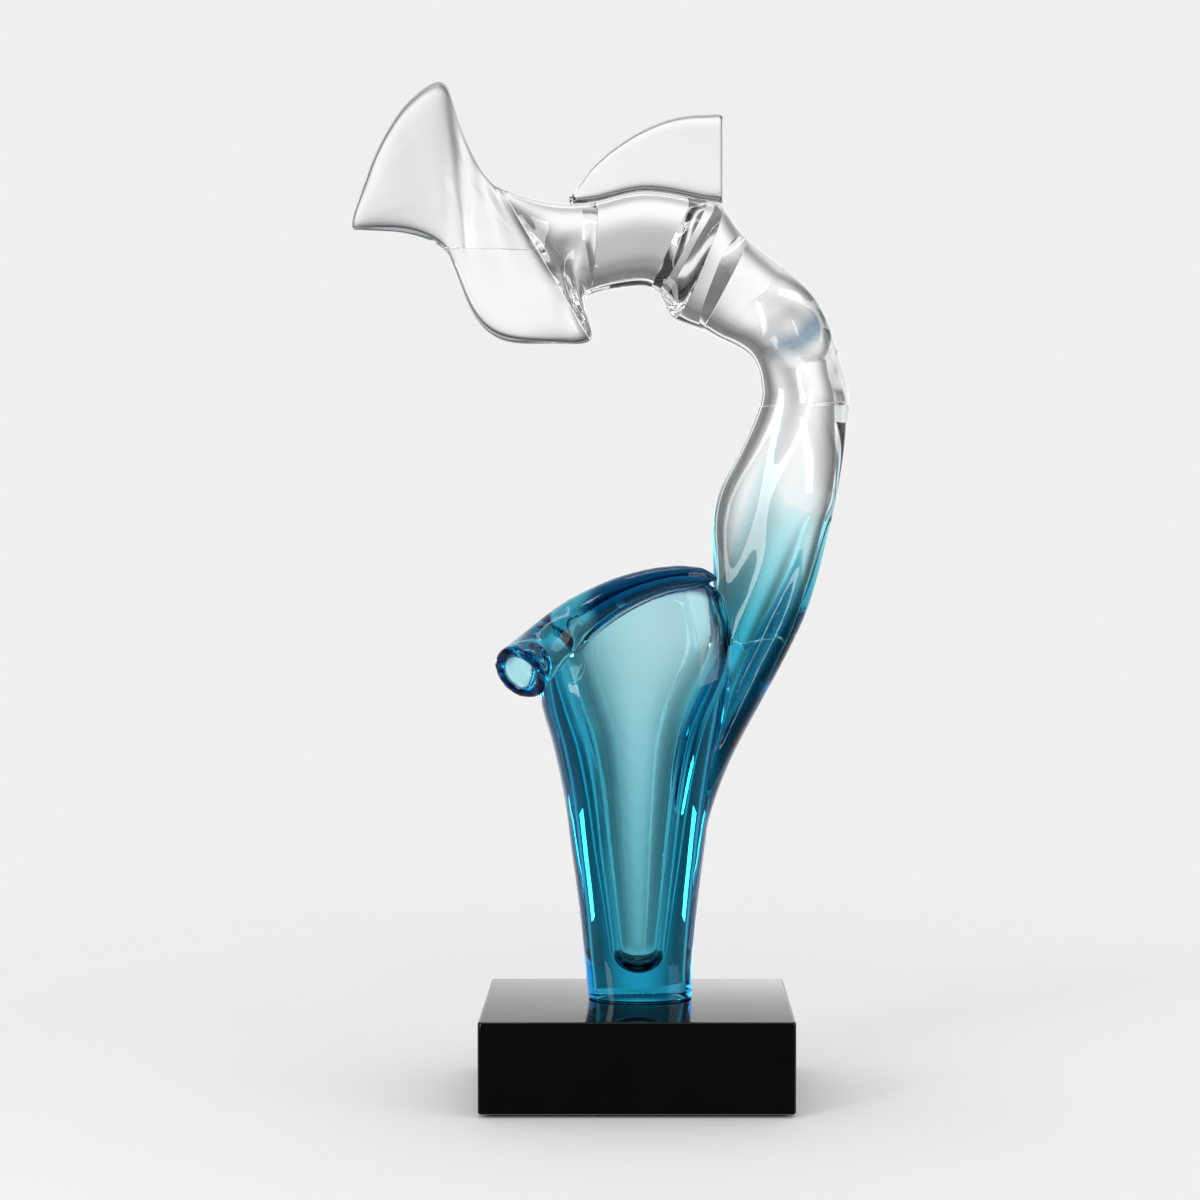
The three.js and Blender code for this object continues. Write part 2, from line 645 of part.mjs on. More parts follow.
// A round cut across the lip at a place along it, moved along it by shift.
function lipRing(place, radius, shift = 0) {
  const middle = new THREE.Vector3(...lipAt(place));
  const before = new THREE.Vector3(...lipAt(place - LIP_PROBE));
  const after = new THREE.Vector3(...lipAt(place + LIP_PROBE));
  const along = after.sub(before).normalize();
  const side = new THREE.Vector3(0, 1, 0).addScaledVector(along, -along.y).normalize();
  const up = new THREE.Vector3().crossVectors(along, side);
  middle.addScaledVector(along, shift);
  return Array.from({ length: LIP_SIDES }, (unused, index) => {
    const angle = (index / LIP_SIDES) * 2 * Math.PI;
    const spoke = side.clone().multiplyScalar(Math.cos(angle)).addScaledVector(up, Math.sin(angle));
    return middle.clone().addScaledVector(spoke, radius);
  });
}

// The place along the lip that lies a length before its end.
function lipPlaceBefore(length) {
  let place = lipEnd;
  let walked = 0;
  const stride = 0.02;
  while (walked < length && place > stride) {
    const here = new THREE.Vector3(...lipAt(place));
    walked += here.distanceTo(new THREE.Vector3(...lipAt(place - stride)));
    place -= stride;
  }
  return place;
}

function lipGeometry() {
  const steps = 2 * lipEnd;
  const rings = [];
  for (let step = 0; step <= steps; step += 1) {
    const place = (lipEnd * step) / steps;
    rings.push(lipRing(place, lipAt(place)[3]));
  }
  rings.push(lipRing(lipEnd, LIP_DIAMETER / 2 - LIP_EDGE, LIP_EDGE));
  const deep = lipPlaceBefore(LIP_BORE_DEPTH);
  const boreSteps = 8;
  const bore = [];
  for (let step = 0; step <= boreSteps; step += 1) {
    const share = step / boreSteps;
    const swell = Math.sin((Math.PI / 2) * Math.max(LIP_BORE_TIP, share) ** LIP_BORE_BLUNT);
    bore.push(lipRing(THREE.MathUtils.lerp(deep, lipEnd, share), (LIP_BORE / 2) * swell));
  }
  bore.push(lipRing(lipEnd, LIP_BORE / 2 + LIP_EDGE, 2 * LIP_EDGE));
  const wave = toSolid(wavePiece(flankStart, elbowStart, 6, BOND_GAP));
  const horn = toSolid(skin(rings)).subtract(toSolid(skin(bore)));
  const wall = vaseOutside(BOND_GAP).subtract(hollowSolid(BOND_GAP));
  return toGeometry(horn.subtract(wall).subtract(wave));
}

// Assembly
const group = new THREE.Group();
const plinth = part("plinth", plinthGeometry(), black);
plinth.position.z = FELT_THICKNESS;
const sculpture = new THREE.Group();
sculpture.position.set(FOOT_X, FOOT_Y, FELT_THICKNESS + PLINTH_HEIGHT + BED_THICKNESS);
sculpture.add(
  part("foot_adhesive", bedGeometry(), cement),
  part("vase_body", vaseGeometry(), turquoise),
  part("rolled_lip", lipGeometry(), turquoise),
  part("flank_core", skin(flankCoreRings), deepBlue),
  part("neck_lower", neckLowerGeometry(), clear),
  part("neck_core", neckCoreGeometry(), turquoise),
  part("neck_inner_core", skin(innerCoreRings), deepBlue),
  part("neck_upper", wavePiece(elbowStart, shoulderStart, 3), clear),
  part("arch_shoulder", wavePiece(shoulderStart, wedgeStart, 4), clear),
  part("arch_wedge", wavePiece(wedgeStart, blockStart, 4), clear),
  part("arch_block", wavePiece(blockStart, linkStart, 4), clear),
  part("top_fin", finGeometry(), clear),
  part("twist_link", wavePiece(linkStart, tailStart, 5), clear),
  part("tail_wing", tailGeometry(1), clear),
  part("tail_lobe", tailGeometry(-1), clear),
);
group.add(part("felt_pad", feltGeometry(), felt), plinth, sculpture);

export default group;
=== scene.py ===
# Resin wave sculpture on a black plinth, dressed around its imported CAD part.
# Metres, +Z up, the viewer in front at -Y. The origin is the middle of the felt's underside.
import math

import bmesh
import bpy
import numpy as np
from mathutils import Matrix, Vector
from mathutils.bvhtree import BVHTree


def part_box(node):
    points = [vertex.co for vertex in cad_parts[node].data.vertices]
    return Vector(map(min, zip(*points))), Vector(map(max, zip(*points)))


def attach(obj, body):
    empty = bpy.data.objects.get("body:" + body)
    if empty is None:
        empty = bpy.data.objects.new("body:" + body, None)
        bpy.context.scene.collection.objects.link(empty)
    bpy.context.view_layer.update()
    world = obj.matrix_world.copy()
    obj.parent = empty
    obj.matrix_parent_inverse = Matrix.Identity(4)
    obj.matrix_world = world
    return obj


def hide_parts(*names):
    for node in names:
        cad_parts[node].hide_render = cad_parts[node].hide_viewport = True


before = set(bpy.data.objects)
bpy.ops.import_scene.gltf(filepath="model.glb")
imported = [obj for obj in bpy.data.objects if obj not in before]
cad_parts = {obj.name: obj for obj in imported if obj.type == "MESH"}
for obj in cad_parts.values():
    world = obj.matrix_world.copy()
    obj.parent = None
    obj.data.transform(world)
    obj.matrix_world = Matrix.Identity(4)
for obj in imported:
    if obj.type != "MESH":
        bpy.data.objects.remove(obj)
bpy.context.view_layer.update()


# Felt pad: a thin sheet of pressed black wool felt, die cut a little smaller than the plinth and
# stuck under it so that it doesn't scratch what it stands on.
felt_low, felt_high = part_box("felt_pad")
UPRIGHT_CORNER = 0.003
FELT_EDGE = 0.0003
FIBRE_WIDTH = 0.0006
SHARP_EDGE = math.radians(35)


def block(low, high, corner, edge):
    """A bmesh box with round upright corners and softened top and bottom edges."""
    bm = bmesh.new()
    size = high - low
    place = Matrix.Translation((low + high) / 2) @ Matrix.Diagonal((*size, 1))
    bmesh.ops.create_cube(bm, size=1, matrix=place)
    upright = [e for e in bm.edges if abs(e.verts[0].co.z - e.verts[1].co.z) > size.z / 2]
    bmesh.ops.bevel(
        bm, geom=upright, offset=corner, segments=8, profile=0.5, affect="EDGES", material=-1
    )
    level = [e for e in bm.edges if abs(e.verts[0].co.z - e.verts[1].co.z) < size.z / 2]
    bmesh.ops.bevel(
        bm, geom=level, offset=edge, segments=4, profile=0.5, affect="EDGES", material=-1
    )
    return bm


def linear(code):
    """An sRGB hex colour as linear red, green and blue, with an alpha of 1."""
    shares = [int(code[start : start + 2], 16) / 255 for start in (1, 3, 5)]
    return [s / 12.92 if s < 0.04045 else ((s + 0.055) / 1.055) ** 2.4 for s in shares] + [1]


def add_node(tree, kind, settings, inputs):
    """A node with its settings, and each input a plain value or another node's output."""
    made = tree.nodes.new(kind)
    for name, value in settings.items():
        setattr(made, name, value)
    for name, value in inputs.items():
        if isinstance(value, bpy.types.NodeSocket):
            tree.links.new(value, made.inputs[name])
        else:
            made.inputs[name].default_value = value
    return made


def empty_material(name):
    """A new material with nothing but its output node."""
    material = bpy.data.materials.new(name)
    material.use_nodes = True
    tree = material.node_tree
    tree.nodes.clear()
    output = tree.nodes.new("ShaderNodeOutputMaterial")
    return material, tree, output


def place_piece(name, bm, material, slot, *nodes):
    """The bmesh as a piece of the object that stands for its CAD nodes."""
    bmesh.ops.recalc_face_normals(bm, faces=bm.faces)
    mesh = bpy.data.meshes.new(name)
    bm.to_mesh(mesh)
    bm.free()
    mesh.shade_smooth()
    mesh.set_sharp_from_angle(angle=SHARP_EDGE)
    mesh.materials.append(material)
    piece = bpy.data.objects.new(name, mesh)
    bpy.context.collection.objects.link(piece)
    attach(piece, "root")
    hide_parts(*nodes)
    return piece


# Pressed wool felt: matt and dark, with a fine tangle of lighter fibres that catches the light. The
# fibres are drawn coarser than real ones, so that they show.
felt, tree, output = empty_material("pressed_wool_felt")
place = add_node(tree, "ShaderNodeTexCoord", {}, {}).outputs["Object"]
fibres = add_node(
    tree,
    "ShaderNodeTexNoise",
    {},
    {"Vector": place, "Scale": 1 / FIBRE_WIDTH, "Detail": 4, "Roughness": 0.7},
).outputs["Fac"]
shades = add_node(
    tree,
    "ShaderNodeMix",
    {"data_type": "RGBA"},
    {0: fibres, 6: linear("#121214"), 7: linear("#2b2c2f")},
).outputs[2]
nap = add_node(
    tree, "ShaderNodeBump", {}, {"Height": fibres, "Distance": FIBRE_WIDTH, "Strength": 0.6}
).outputs[0]
shader = add_node(
    tree,
    "ShaderNodeBsdfPrincipled",
    {},
    {"Base Color": shades, "Roughness": 0.95, "Sheen Weight": 0.25, "Normal": nap},
)
tree.links.new(shader.outputs[0], output.inputs["Surface"])
felt_sheet = block(felt_low, felt_high, UPRIGHT_CORNER, FELT_EDGE)
place_piece("felt_sheet", felt_sheet, felt, "black_felt", "felt_pad")


# Plinth: a block of black cast acrylic, sawn, flame and buff polished on all sides, with its edges
# broken by a small round. It stands on the felt.
plinth_low, plinth_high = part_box("plinth")
PLINTH_EDGE = 0.0015
WIPE_MARK = 0.045

# Polished black acrylic: a deep black under a clear gloss that mirrors the room, faintly uneven
# where a cloth has wiped it.
black_acrylic, tree, output = empty_material("polished_black_acrylic")
place = add_node(tree, "ShaderNodeTexCoord", {}, {}).outputs["Object"]
wipes = add_node(
    tree, "ShaderNodeTexNoise", {}, {"Vector": place, "Scale": 1 / WIPE_MARK, "Detail": 3}
).outputs["Fac"]
polish = add_node(
    tree, "ShaderNodeMapRange", {}, {"Value": wipes, "To Min": 0.03, "To Max": 0.075}
).outputs[0]
depth = add_node(
    tree,
    "ShaderNodeMix",
    {"data_type": "RGBA"},
    {0: wipes, 6: linear("#070708"), 7: linear("#0d0d0f")},
).outputs[2]
shader = add_node(
    tree, "ShaderNodeBsdfPrincipled", {}, {"Base Color": depth, "Roughness": polish, "IOR": 1.49}
)
tree.links.new(shader.outputs[0], output.inputs["Surface"])
plinth_block = block(plinth_low, plinth_high, UPRIGHT_CORNER, PLINTH_EDGE)
place_piece("plinth_block", plinth_block, black_acrylic, "black_acrylic", "plinth")


# Foot adhesive: a thin bed of clear adhesive that holds the vase to the plinth. It is spread,
# pressed flat by the foot and wiped off round it, and it draws back from the foot a little as it
# cures.
MM = 0.001
bed_low, bed_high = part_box("foot_adhesive")
foot = Vector(((bed_low.x + bed_high.x) / 2, (bed_low.y + bed_high.y) / 2, bed_high.z))
VASE_SQUARENESS = 2.15
VASE_SIDES = 96
CURING_SHRINKAGE = 0.05
RESIN_IOR = 1.5
RIPPLE = 4 * MM


def smooth_rows(rows, positions=None):
    """A smooth curve through rows of numbers, by row number or by the rows' own positions."""
    values = np.array(rows, float)
    at = np.array(range(len(rows)) if positions is None else positions, float)
    slopes = np.diff(values, axis=0) / np.diff(at)[:, None]
    leans = np.vstack([slopes[:1], (slopes[:-1] + slopes[1:]) / 2, slopes[-1:]])

    def row_at(position):
        low = int(np.clip(np.searchsorted(at, position, "right") - 1, 0, len(at) - 2))
        span = at[low + 1] - at[low]
        p = (position - at[low]) / span
        start = values[low] * (2 * p**3 - 3 * p**2 + 1) + leans[low] * span * (p**3 - 2 * p**2 + p)
        end = values[low + 1] * (3 * p**2 - 2 * p**3) + leans[low + 1] * span * (p**3 - p**2)
        return (start + end).tolist()

    return row_at


def rounded(unit, square):
    """A point of the unit circle, pushed out to a rounded square. A squareness of 2 is a circle."""
    return [math.copysign(abs(part) ** (2 / square), part) for part in (unit.x, unit.y)]


def cut_place(row, u, v, shift=0):
    """Where a cut across a swept form is u of the way out across it and v of the way to its back.

    A row holds, in millimetres from the foot, the inner edge x, z and the outer edge x, z as the
    front shows them, the middle's y, how far the outer edge leans back, how far both edges bow
    back, half the thickness, the squareness and by how much the front face is the narrower one at
    each edge. shift moves the cut along the sweep.
    """
    inner_x, inner_z, outer_x, outer_z, y, lean, bow, half, square, bevel = row
    reach = Vector((outer_x - inner_x, 0, outer_z - inner_z)) / 2
    along = Vector((-reach.z, 0, reach.x)).normalized()
    middle = Vector(((inner_x + outer_x) / 2, y, (inner_z + outer_z) / 2))
    back = Vector((0, lean * u + bow * u * u + half * v, 0))
    narrowing = 1 - bevel * (1 - v) / 2 / reach.length
    return foot + MM * (middle + along * shift + reach * (u * narrowing) + back)


def sweep(cuts, sides):
    """A closed bmesh skin over cuts, each a function from a point of the unit circle to a place."""
    bm = bmesh.new()
    unit = bm.verts.layers.float_vector.new("unit")
    ring = bmesh.ops.create_circle(bm, cap_ends=True, segments=sides, radius=1)["verts"]
    for vert in ring:
        vert[unit] = vert.co
    loop = list(bm.edges)
    for number, cut in enumerate(cuts):
        if number > 0:
            grown = bmesh.ops.extrude_edge_only(bm, edges=loop)["geom"]
            ring = [part for part in grown if isinstance(part, bmesh.types.BMVert)]
            loop = [part for part in grown if isinstance(part, bmesh.types.BMEdge)]
        for vert in ring:
            vert.co = cut(vert[unit])
    bmesh.ops.contextual_create(bm, geom=loop)
    bmesh.ops.recalc_face_normals(bm, faces=bm.faces)
    return bm


def bed_cut(z):
    """The bed's outline at a height in millimetres from the foot."""
    half_width = (bed_high.x - bed_low.x) / 2 / MM
    half_depth = (bed_high.y - bed_low.y) / 2 / MM
    row = [-half_width, z, half_width, z, 0, 0, 0, half_depth, VASE_SQUARENESS, 0]
    return lambda unit: cut_place(row, *rounded(unit, VASE_SQUARENESS))


bed_thickness = (bed_high.z - bed_low.z) / MM
bed = sweep([bed_cut(-bed_thickness), bed_cut(-CURING_SHRINKAGE)], VASE_SIDES)

# Cured clear adhesive: see-through, with a slightly rippled skin where it was pressed out.
adhesive, tree, output = empty_material("cured_clear_adhesive")
place = add_node(tree, "ShaderNodeTexCoord", {}, {}).outputs["Object"]
ripples = add_node(
    tree, "ShaderNodeTexNoise", {}, {"Vector": place, "Scale": 1 / RIPPLE, "Detail": 2}
).outputs["Fac"]
haze = add_node(
    tree, "ShaderNodeMapRange", {}, {"Value": ripples, "To Min": 0.05, "To Max": 0.2}
).outputs[0]
shader = add_node(
    tree,
    "ShaderNodeBsdfPrincipled",
    {},
    {
        "Base Color": linear("#eef4f5"),
        "Roughness": haze,
        "IOR": RESIN_IOR,
        "Transmission Weight": 1,
    },
)
tree.links.new(shader.outputs[0], output.inputs["Surface"])
place_piece("adhesive_bed", bed, adhesive, "clear_adhesive", "foot_adhesive")


# Vase with its rolled lip: turquoise casting resin, cast thick round a hollow core, with the flank
# that carries the wave grown out of its right side and a lip drawn out along the front of the rim.
# The lip is welded on while soft, and all of it is ground and polished into one flowing body.

# Its sizes and places, as those of the wave, are in millimetres from the middle of the foot.
FOOT_WIDTH = 68
FOOT_DEPTH = 48
FOOT_EDGE = 1
SOLE_SPARE = 5
FLOOR_THICKNESS = 17
HOLLOW_ROUND = 14
FRONT_WALL_LOW = 11
FRONT_WALL_HIGH = 4
MOUTH_HEIGHT = 232.5
MOUTH_TILT = 24
MOUTH_CREST = 38.5
MOUTH_ROUND = 0.15
NECK_HALF = 15
ARCH_HALF = 20
TAIL_HALF = 5
BOND_GAP = 0.3
CUP_RINGS = 62
HOLLOW_RINGS = 50
WAVE_SIDES = 112

# Rows of the vase: height, and how far its left side, right side and front flare past the foot.
vase_flare = [
    [0, 0, 0, 0],
    [21, 2.5, 0.5, 1],
    [60, 6.5, 4, 3],
    [100, 12, 9, 6],
    [130, 16, 13, 8],
    [169, 24.5, 20, 11],
    [189, 30.5, 24, 12],
    [210, 34, 27.5, 12.5],
    [235, 34, 28, 13],
    [262, 32.5, 21, 13],
    [300, 30, 14, 13],
]
vase_top = vase_flare[-1][0]
flare_at = smooth_rows(vase_flare, [row[0] for row in vase_flare])

# Rows of the hollow: height and the thickness of the left and the right wall, which thin out as the
# bowl opens.
side_walls = [
    [FLOOR_THICKNESS, 21, 21],
    [60, 20, 20],
    [120, 20, 20],
    [180, 21, 19],
    [203, 19, 14],
    [225, 15, 8],
    [250, 11, 5],
    [300, 8, 5],
]
side_walls_at = smooth_rows([row[1:] for row in side_walls], [row[0] for row in side_walls])


def vase_row(z):
    """The vase's section at a height, as a row of a swept form."""
    _, left, right, front = flare_at(max(z, 0))
    half_width = FOOT_WIDTH / 2
    half_depth = FOOT_DEPTH / 2 + front
    return [-half_width - left, z, half_width + right, z, 0, 0, 0, half_depth, VASE_SQUARENESS, 0]


def rim_height(angle):
    """The rim's height by the angle round it, from its right end."""
    crest = math.hypot(math.sin(angle), MOUTH_ROUND)
    return MOUTH_HEIGHT + MOUTH_TILT * math.cos(angle) + MOUTH_CREST * crest


def vase_cut(level, grow=0):
    """A ring round the vase: flat at the foot, and following the rim's sweep at the top."""
    lift = grow if level == MOUTH_HEIGHT else 0

    def ring_place(unit):
        swept = rim_height(math.atan2(unit.y, unit.x)) - MOUTH_HEIGHT
        height = level + (level / MOUTH_HEIGHT) ** 3 * swept
        left, z, right, _, _, _, _, half, square, _ = vase_row(height)
        row = [left - grow, z + lift, right + grow, z + lift, 0, 0, 0, half + grow, square, 0]
        return cut_place(row, *rounded(unit, square))

    return ring_place


def hollow_cut(z, round_share):
    """The vase's section at a height, drawn in by the walls and by the hollow's round bottom."""
    left, _, right, _, _, _, _, half, square, _ = vase_row(z)
    climb = min(1, (z - FLOOR_THICKNESS) / (MOUTH_HEIGHT - FLOOR_THICKNESS))
    front = FRONT_WALL_LOW + (FRONT_WALL_HIGH - FRONT_WALL_LOW) * climb
    left_wall, right_wall = side_walls_at(z)
    middle = (left + left_wall + right - right_wall) / 2
    half_width = (right - right_wall - left - left_wall) / 2 * round_share
    half_depth = (half - front) * round_share
    row = [middle - half_width, z, middle + half_width, z, 0, 0, 0, half_depth, square, 0]
    return lambda unit: cut_place(row, *rounded(unit, square))


cup_levels = [-SOLE_SPARE, *np.linspace(0, MOUTH_HEIGHT, CUP_RINGS)]
cup = sweep([vase_cut(level) for level in cup_levels], VASE_SIDES)
mouth_left, _, mouth_right, _, _, _, _, mouth_half_depth, *_ = vase_row(MOUTH_HEIGHT)
mouth_middle = (mouth_left + mouth_right) / 2
mouth_half_width = (mouth_right - mouth_left) / 2

round_turns = [math.radians(turn) for turn in range(6, 91, 6)]
round_steps = [
    (FLOOR_THICKNESS + HOLLOW_ROUND * (1 - math.cos(turn)), math.sin(turn)) for turn in round_turns
]
wall_heights = np.linspace(FLOOR_THICKNESS + HOLLOW_ROUND, vase_top, HOLLOW_RINGS)[1:]
hollow_steps = [*round_steps, *((z, 1) for z in wall_heights)]
hollow = sweep([hollow_cut(z, share) for z, share in hollow_steps], VASE_SIDES)

# Rows of the wave, piece by piece. The first row of each list after the flank's is the bond with
# the piece before it.
flank_rows = [
    [5, 75, 36, 80, 0, 0, 0, NECK_HALF, 2.2, 0],
    [15, 122, 50, 131, 1, 0, 0, NECK_HALF + 4, 2.2, 0],
    [24, 160, 67, 170, 2, 0, 0, NECK_HALF + 6, 2.2, 0],
    [31, 196, 85, 203, 3, -2, 0, NECK_HALF + 6, 2.2, 0],
]
neck_lower_rows = [
    [39, 228, 103, 238, 4, -4, 0, NECK_HALF + 5, 2.2, 0],
    [45, 255, 115.5, 272, 4, -6, 0, NECK_HALF + 3, 2.2, 0],
    [48.5, 277, 127, 318.5, 4, -7, 0, NECK_HALF + 1, 2.2, 0],
    [48, 310, 130.5, 336, 3, -8, 0, NECK_HALF - 1, 2.2, 0],
    [54.5, 337, 133, 353, 2, -10, 0, NECK_HALF - 1, 2.2, 0],
    [67, 360.5, 135, 369.5, 1, -12, 0, NECK_HALF, 2.2, 0],
]
neck_upper_rows = [
    [79, 388.5, 136.5, 390.5, 0, -13, 0, NECK_HALF + 2, 2.2, 0],
    [80.5, 402.5, 134.5, 403.5, -1, -13, 0, NECK_HALF + 3, 2.3, 0],
    [78, 415, 131, 415.5, -2, -12, 0, NECK_HALF + 3, 2.4, 0],
    [69.5, 425, 125.5, 434.5, -3, -9, 0, NECK_HALF + 3, 2.6, 0],
    [57, 431, 114.5, 458, -4, -6, 0, ARCH_HALF, 2.8, 0],
    [47.5, 435.5, 95, 477.5, -4, -4, 0, ARCH_HALF, 3, 0],
]
shoulder_rows = [[39.5, 439, 67, 501, -4, -2, 0, ARCH_HALF, 3.2, 0]]
wedge_rows = [[21, 447, 54, 520, -4, 0, 0, ARCH_HALF - 2, 3.2, 0]]
block_rows = [
    [10, 464.5, 41.5, 523, -4, 0, 0, ARCH_HALF - 4, 3.2, 0],
    [-10, 466.5, 4, 529, -4, 0, 0, ARCH_HALF - 4, 3.2, 0],
]
link_rows = [
    [-33.5, 461, -31.5, 522, -4, 0, 0, ARCH_HALF - 5, 3.2, 0],
    [-34.5, 447, -66, 524, -6, 8, 0, ARCH_HALF - 6, 3, 0],
]
tail_rows = [
    [-32.5, 430.5, -92, 533, -8, 13, 4, TAIL_HALF + 3, 3.2, 0],
    [-52.5, 427.5, -99, 538, -9.5, 14, 5, TAIL_HALF + 1, 5, 2],
    [-72, 427.5, -106, 547.5, -11, 14, 7, TAIL_HALF, 8, 4],
    [-90, 430, -113, 561, -13, 13, 8, TAIL_HALF, 8, 5],
    [-104, 440, -119.5, 577, -15, 11, 9, TAIL_HALF, 8, 5],
    [-113, 455, -124.5, 594, -18, 8, 9, TAIL_HALF, 8, 5],
    [-119, 470.5, -129.5, 602, -20, 6, 8, TAIL_HALF, 8, 5],
    [-123, 481, -138, 600, -22.5, 4.5, 7, TAIL_HALF, 8, 5],
    [-126.5, 487.5, -150, 589.5, -25, 3, 6, TAIL_HALF, 8, 5],
    [-135, 493.5, -160, 576, -28, 2, 5, TAIL_HALF, 8, 5],
    [-150, 498, -171.5, 553.5, -32, 1, 4, TAIL_HALF, 7, 5],
    [-167.5, 499, -179, 529, -37, 0, 2, TAIL_HALF - 1, 5, 4],
    [-179.5, 499, -183.5, 511, -40, 0, 0, TAIL_HALF - 2, 3, 2],
    [-183, 499.5, -184.5, 502.5, -41, 0, 0, TAIL_HALF - 3, 2.5, 0.5],
]
wave_lists = [
    flank_rows,
    neck_lower_rows,
    neck_upper_rows,
    shoulder_rows,
    wedge_rows,
    block_rows,
    link_rows,
    tail_rows,
]
ROW_HALF = 7
ROW_SQUARENESS = 8


def flowing_rows(rows):
    """The smoothest curve through rows of numbers, by row number."""
    values = np.array(rows, float)
    count = len(values)
    system = np.diag([1, *[4] * (count - 2), 1.0]) + np.diag([*[1.0] * (count - 2), 0], -1)
    system += np.diag([0, *[1.0] * (count - 2)], 1)
    turns = np.zeros_like(values)
    turns[1:-1] = 6 * np.diff(values, 2, axis=0)
    bends = np.linalg.solve(system, turns)

    def row_at(place):
        low = int(min(max(place, 0), count - 2))
        p = place - low
        q = 1 - p
        line = values[low] * q + values[low + 1] * p
        return (line + (bends[low] * (q**3 - q) + bends[low + 1] * (p**3 - p)) / 6).tolist()

    return row_at


wave_at = flowing_rows([row for rows in wave_lists for row in rows])
starts = np.cumsum([0, *(len(rows) for rows in wave_lists)]).tolist()
flank_start, neck_start, elbow_start, shoulder_start = starts[:4]
wedge_start, block_start, link_start, tail_start = starts[4:8]
wave_end = starts[8] - 1

# How far, in rows, the back of a cut runs ahead of its middle, and its front behind it: the bonds
# slant through the arch, so that they show as grey planes in it.
slants = [
    [flank_start, 0],
    [neck_start - 1, 0],
    [neck_start, -0.025],
    [neck_start + 1, 0],
    [shoulder_start - 1, 0],
    [shoulder_start, 0.2],
    [wedge_start, 0.3],
    [block_start, 0.25],
    [link_start, 0.15],
    [link_start + 1, 0],
    [wave_end, 0],
]

# By how much the wave is thicker at its outer edge than in its middle, as a share: the arch has a
# heavy crown.
crowns = [
    [flank_start, 0],
    [shoulder_start - 1, 0],
    [shoulder_start, 0.1],
    [wedge_start, 0.2],
    [block_start, 0.3],
    [link_start, 0.3],
    [tail_start, 0],
    [wave_end, 0],
]

# Folds run along the wave's front where the soft resin was drawn, and the elbow has a dimple in its
# back. A row holds the place along the wave, the fold's middle across it, its half width and its
# depth.
neck_fold = [
    [neck_start - 0.5, -0.9, 0.35, 0],
    [neck_start + 1, -0.75, 0.35, 3],
    [neck_start + 2, -0.58, 0.35, 3.5],
    [neck_start + 3.5, -0.4, 0.35, 3.5],
    [neck_start + 5, -0.4, 0.35, 3.5],
    [elbow_start + 0.5, -0.45, 0.3, 4],
    [elbow_start + 2, -0.55, 0.3, 3],
    [elbow_start + 3, -0.65, 0.3, 0],
]
flank_fold = [
    [flank_start + 0.3, 0.1, 0.25, 0],
    [flank_start + 1.5, 0.1, 0.25, 7],
    [flank_start + 3, 0.12, 0.25, 10],
    [neck_start + 0.5, 0.25, 0.25, 9],
    [neck_start + 1.5, 0.42, 0.25, 5],
    [neck_start + 2.5, 0.6, 0.25, 0],
]
link_fold = [
    [link_start + 0.2, 0.2, 0.3, 0],
    [link_start + 0.7, 0.05, 0.28, 4],
    [link_start + 1.2, -0.15, 0.28, 6],
    [link_start + 1.7, -0.4, 0.28, 5],
    [tail_start + 0.2, -0.6, 0.28, 3],
    [tail_start + 0.8, -0.75, 0.3, 0],
]
elbow_dimple = [
    [elbow_start + 2.2, 0.5, 0.4, 0],
    [elbow_start + 3, 0.45, 0.4, 6],
    [elbow_start + 3.7, 0.42, 0.4, 8],
    [elbow_start + 4.3, 0.4, 0.4, 5],
    [elbow_start + 5, 0.4, 0.4, 0],
]
folds = [
    (
        side,
        rows[0][0],
        rows[-1][0],
        smooth_rows([row[1:] for row in rows], [row[0] for row in rows]),
    )
    for side, rows in [(-1, neck_fold), (-1, flank_fold), (-1, link_fold), (1, elbow_dimple)]
]


def wave_point(place, u, v, shift=0):
    """Where the wave is u of the way out and v of the way to its back, at a place along it."""
    here = min(max(place + np.interp(place, *zip(*slants)) * v, flank_start), wave_end)
    crown = 1 + np.interp(here, *zip(*crowns)) * u
    point = cut_place(wave_at(here), u, v * crown, shift)
    for side, first, last, fold_at in folds:
        if first < here < last and side * v > 0:
            middle, width, depth = fold_at(here)
            point.y -= MM * depth * math.exp(-(((u - middle) / width) ** 2)) * v
    return point


def half_bond(place):
    """Half the cement line, measured along the sweep where a slanted cut crosses it."""
    slant = np.interp(place, *zip(*slants))
    ahead, behind = (cut_place(wave_at(place + rows), 0, 0) / MM for rows in (slant, -slant))
    skew = math.hypot(ahead.x - behind.x, ahead.z - behind.z) / 2
    return BOND_GAP / 2 * math.hypot(1, skew / wave_at(place)[ROW_HALF])


def wave_piece(start, end, steps_per_row, spare=0, swell=1, bond=1):
    """A stretch of the wave, drawn in by half a bond at each end that meets another piece.

    spare runs on past its end, in rows, swell makes it bulkier than it is, and a bond of -1 takes
    its start to the other side of the cement line.
    """
    places = np.linspace(start, end + spare, int(steps_per_row * (end + spare - start)) + 1)
    first_shift = 0 if start == flank_start else bond * half_bond(start)
    last_shift = 0 if end == wave_end else -half_bond(end)
    cap_shares = np.linspace(0.1, 1, 10)
    stations = [
        *((places[0], share, first_shift) for share in cap_shares),
        *((place, 1, 0) for place in places[1:-1]),
        *((places[-1], share, last_shift) for share in cap_shares[::-1]),
    ]
    cuts = []
    for place, share, shift in stations:
        square = wave_at(place)[ROW_SQUARENESS]
        cuts.append(
            lambda unit, p=place, w=swell * share, s=shift, q=square: wave_point(
                p, *(w * c for c in rounded(unit, q)), s
            )
        )
    return sweep(cuts, WAVE_SIDES)


flank = wave_piece(flank_start, neck_start, steps_per_row=8, spare=0.5)

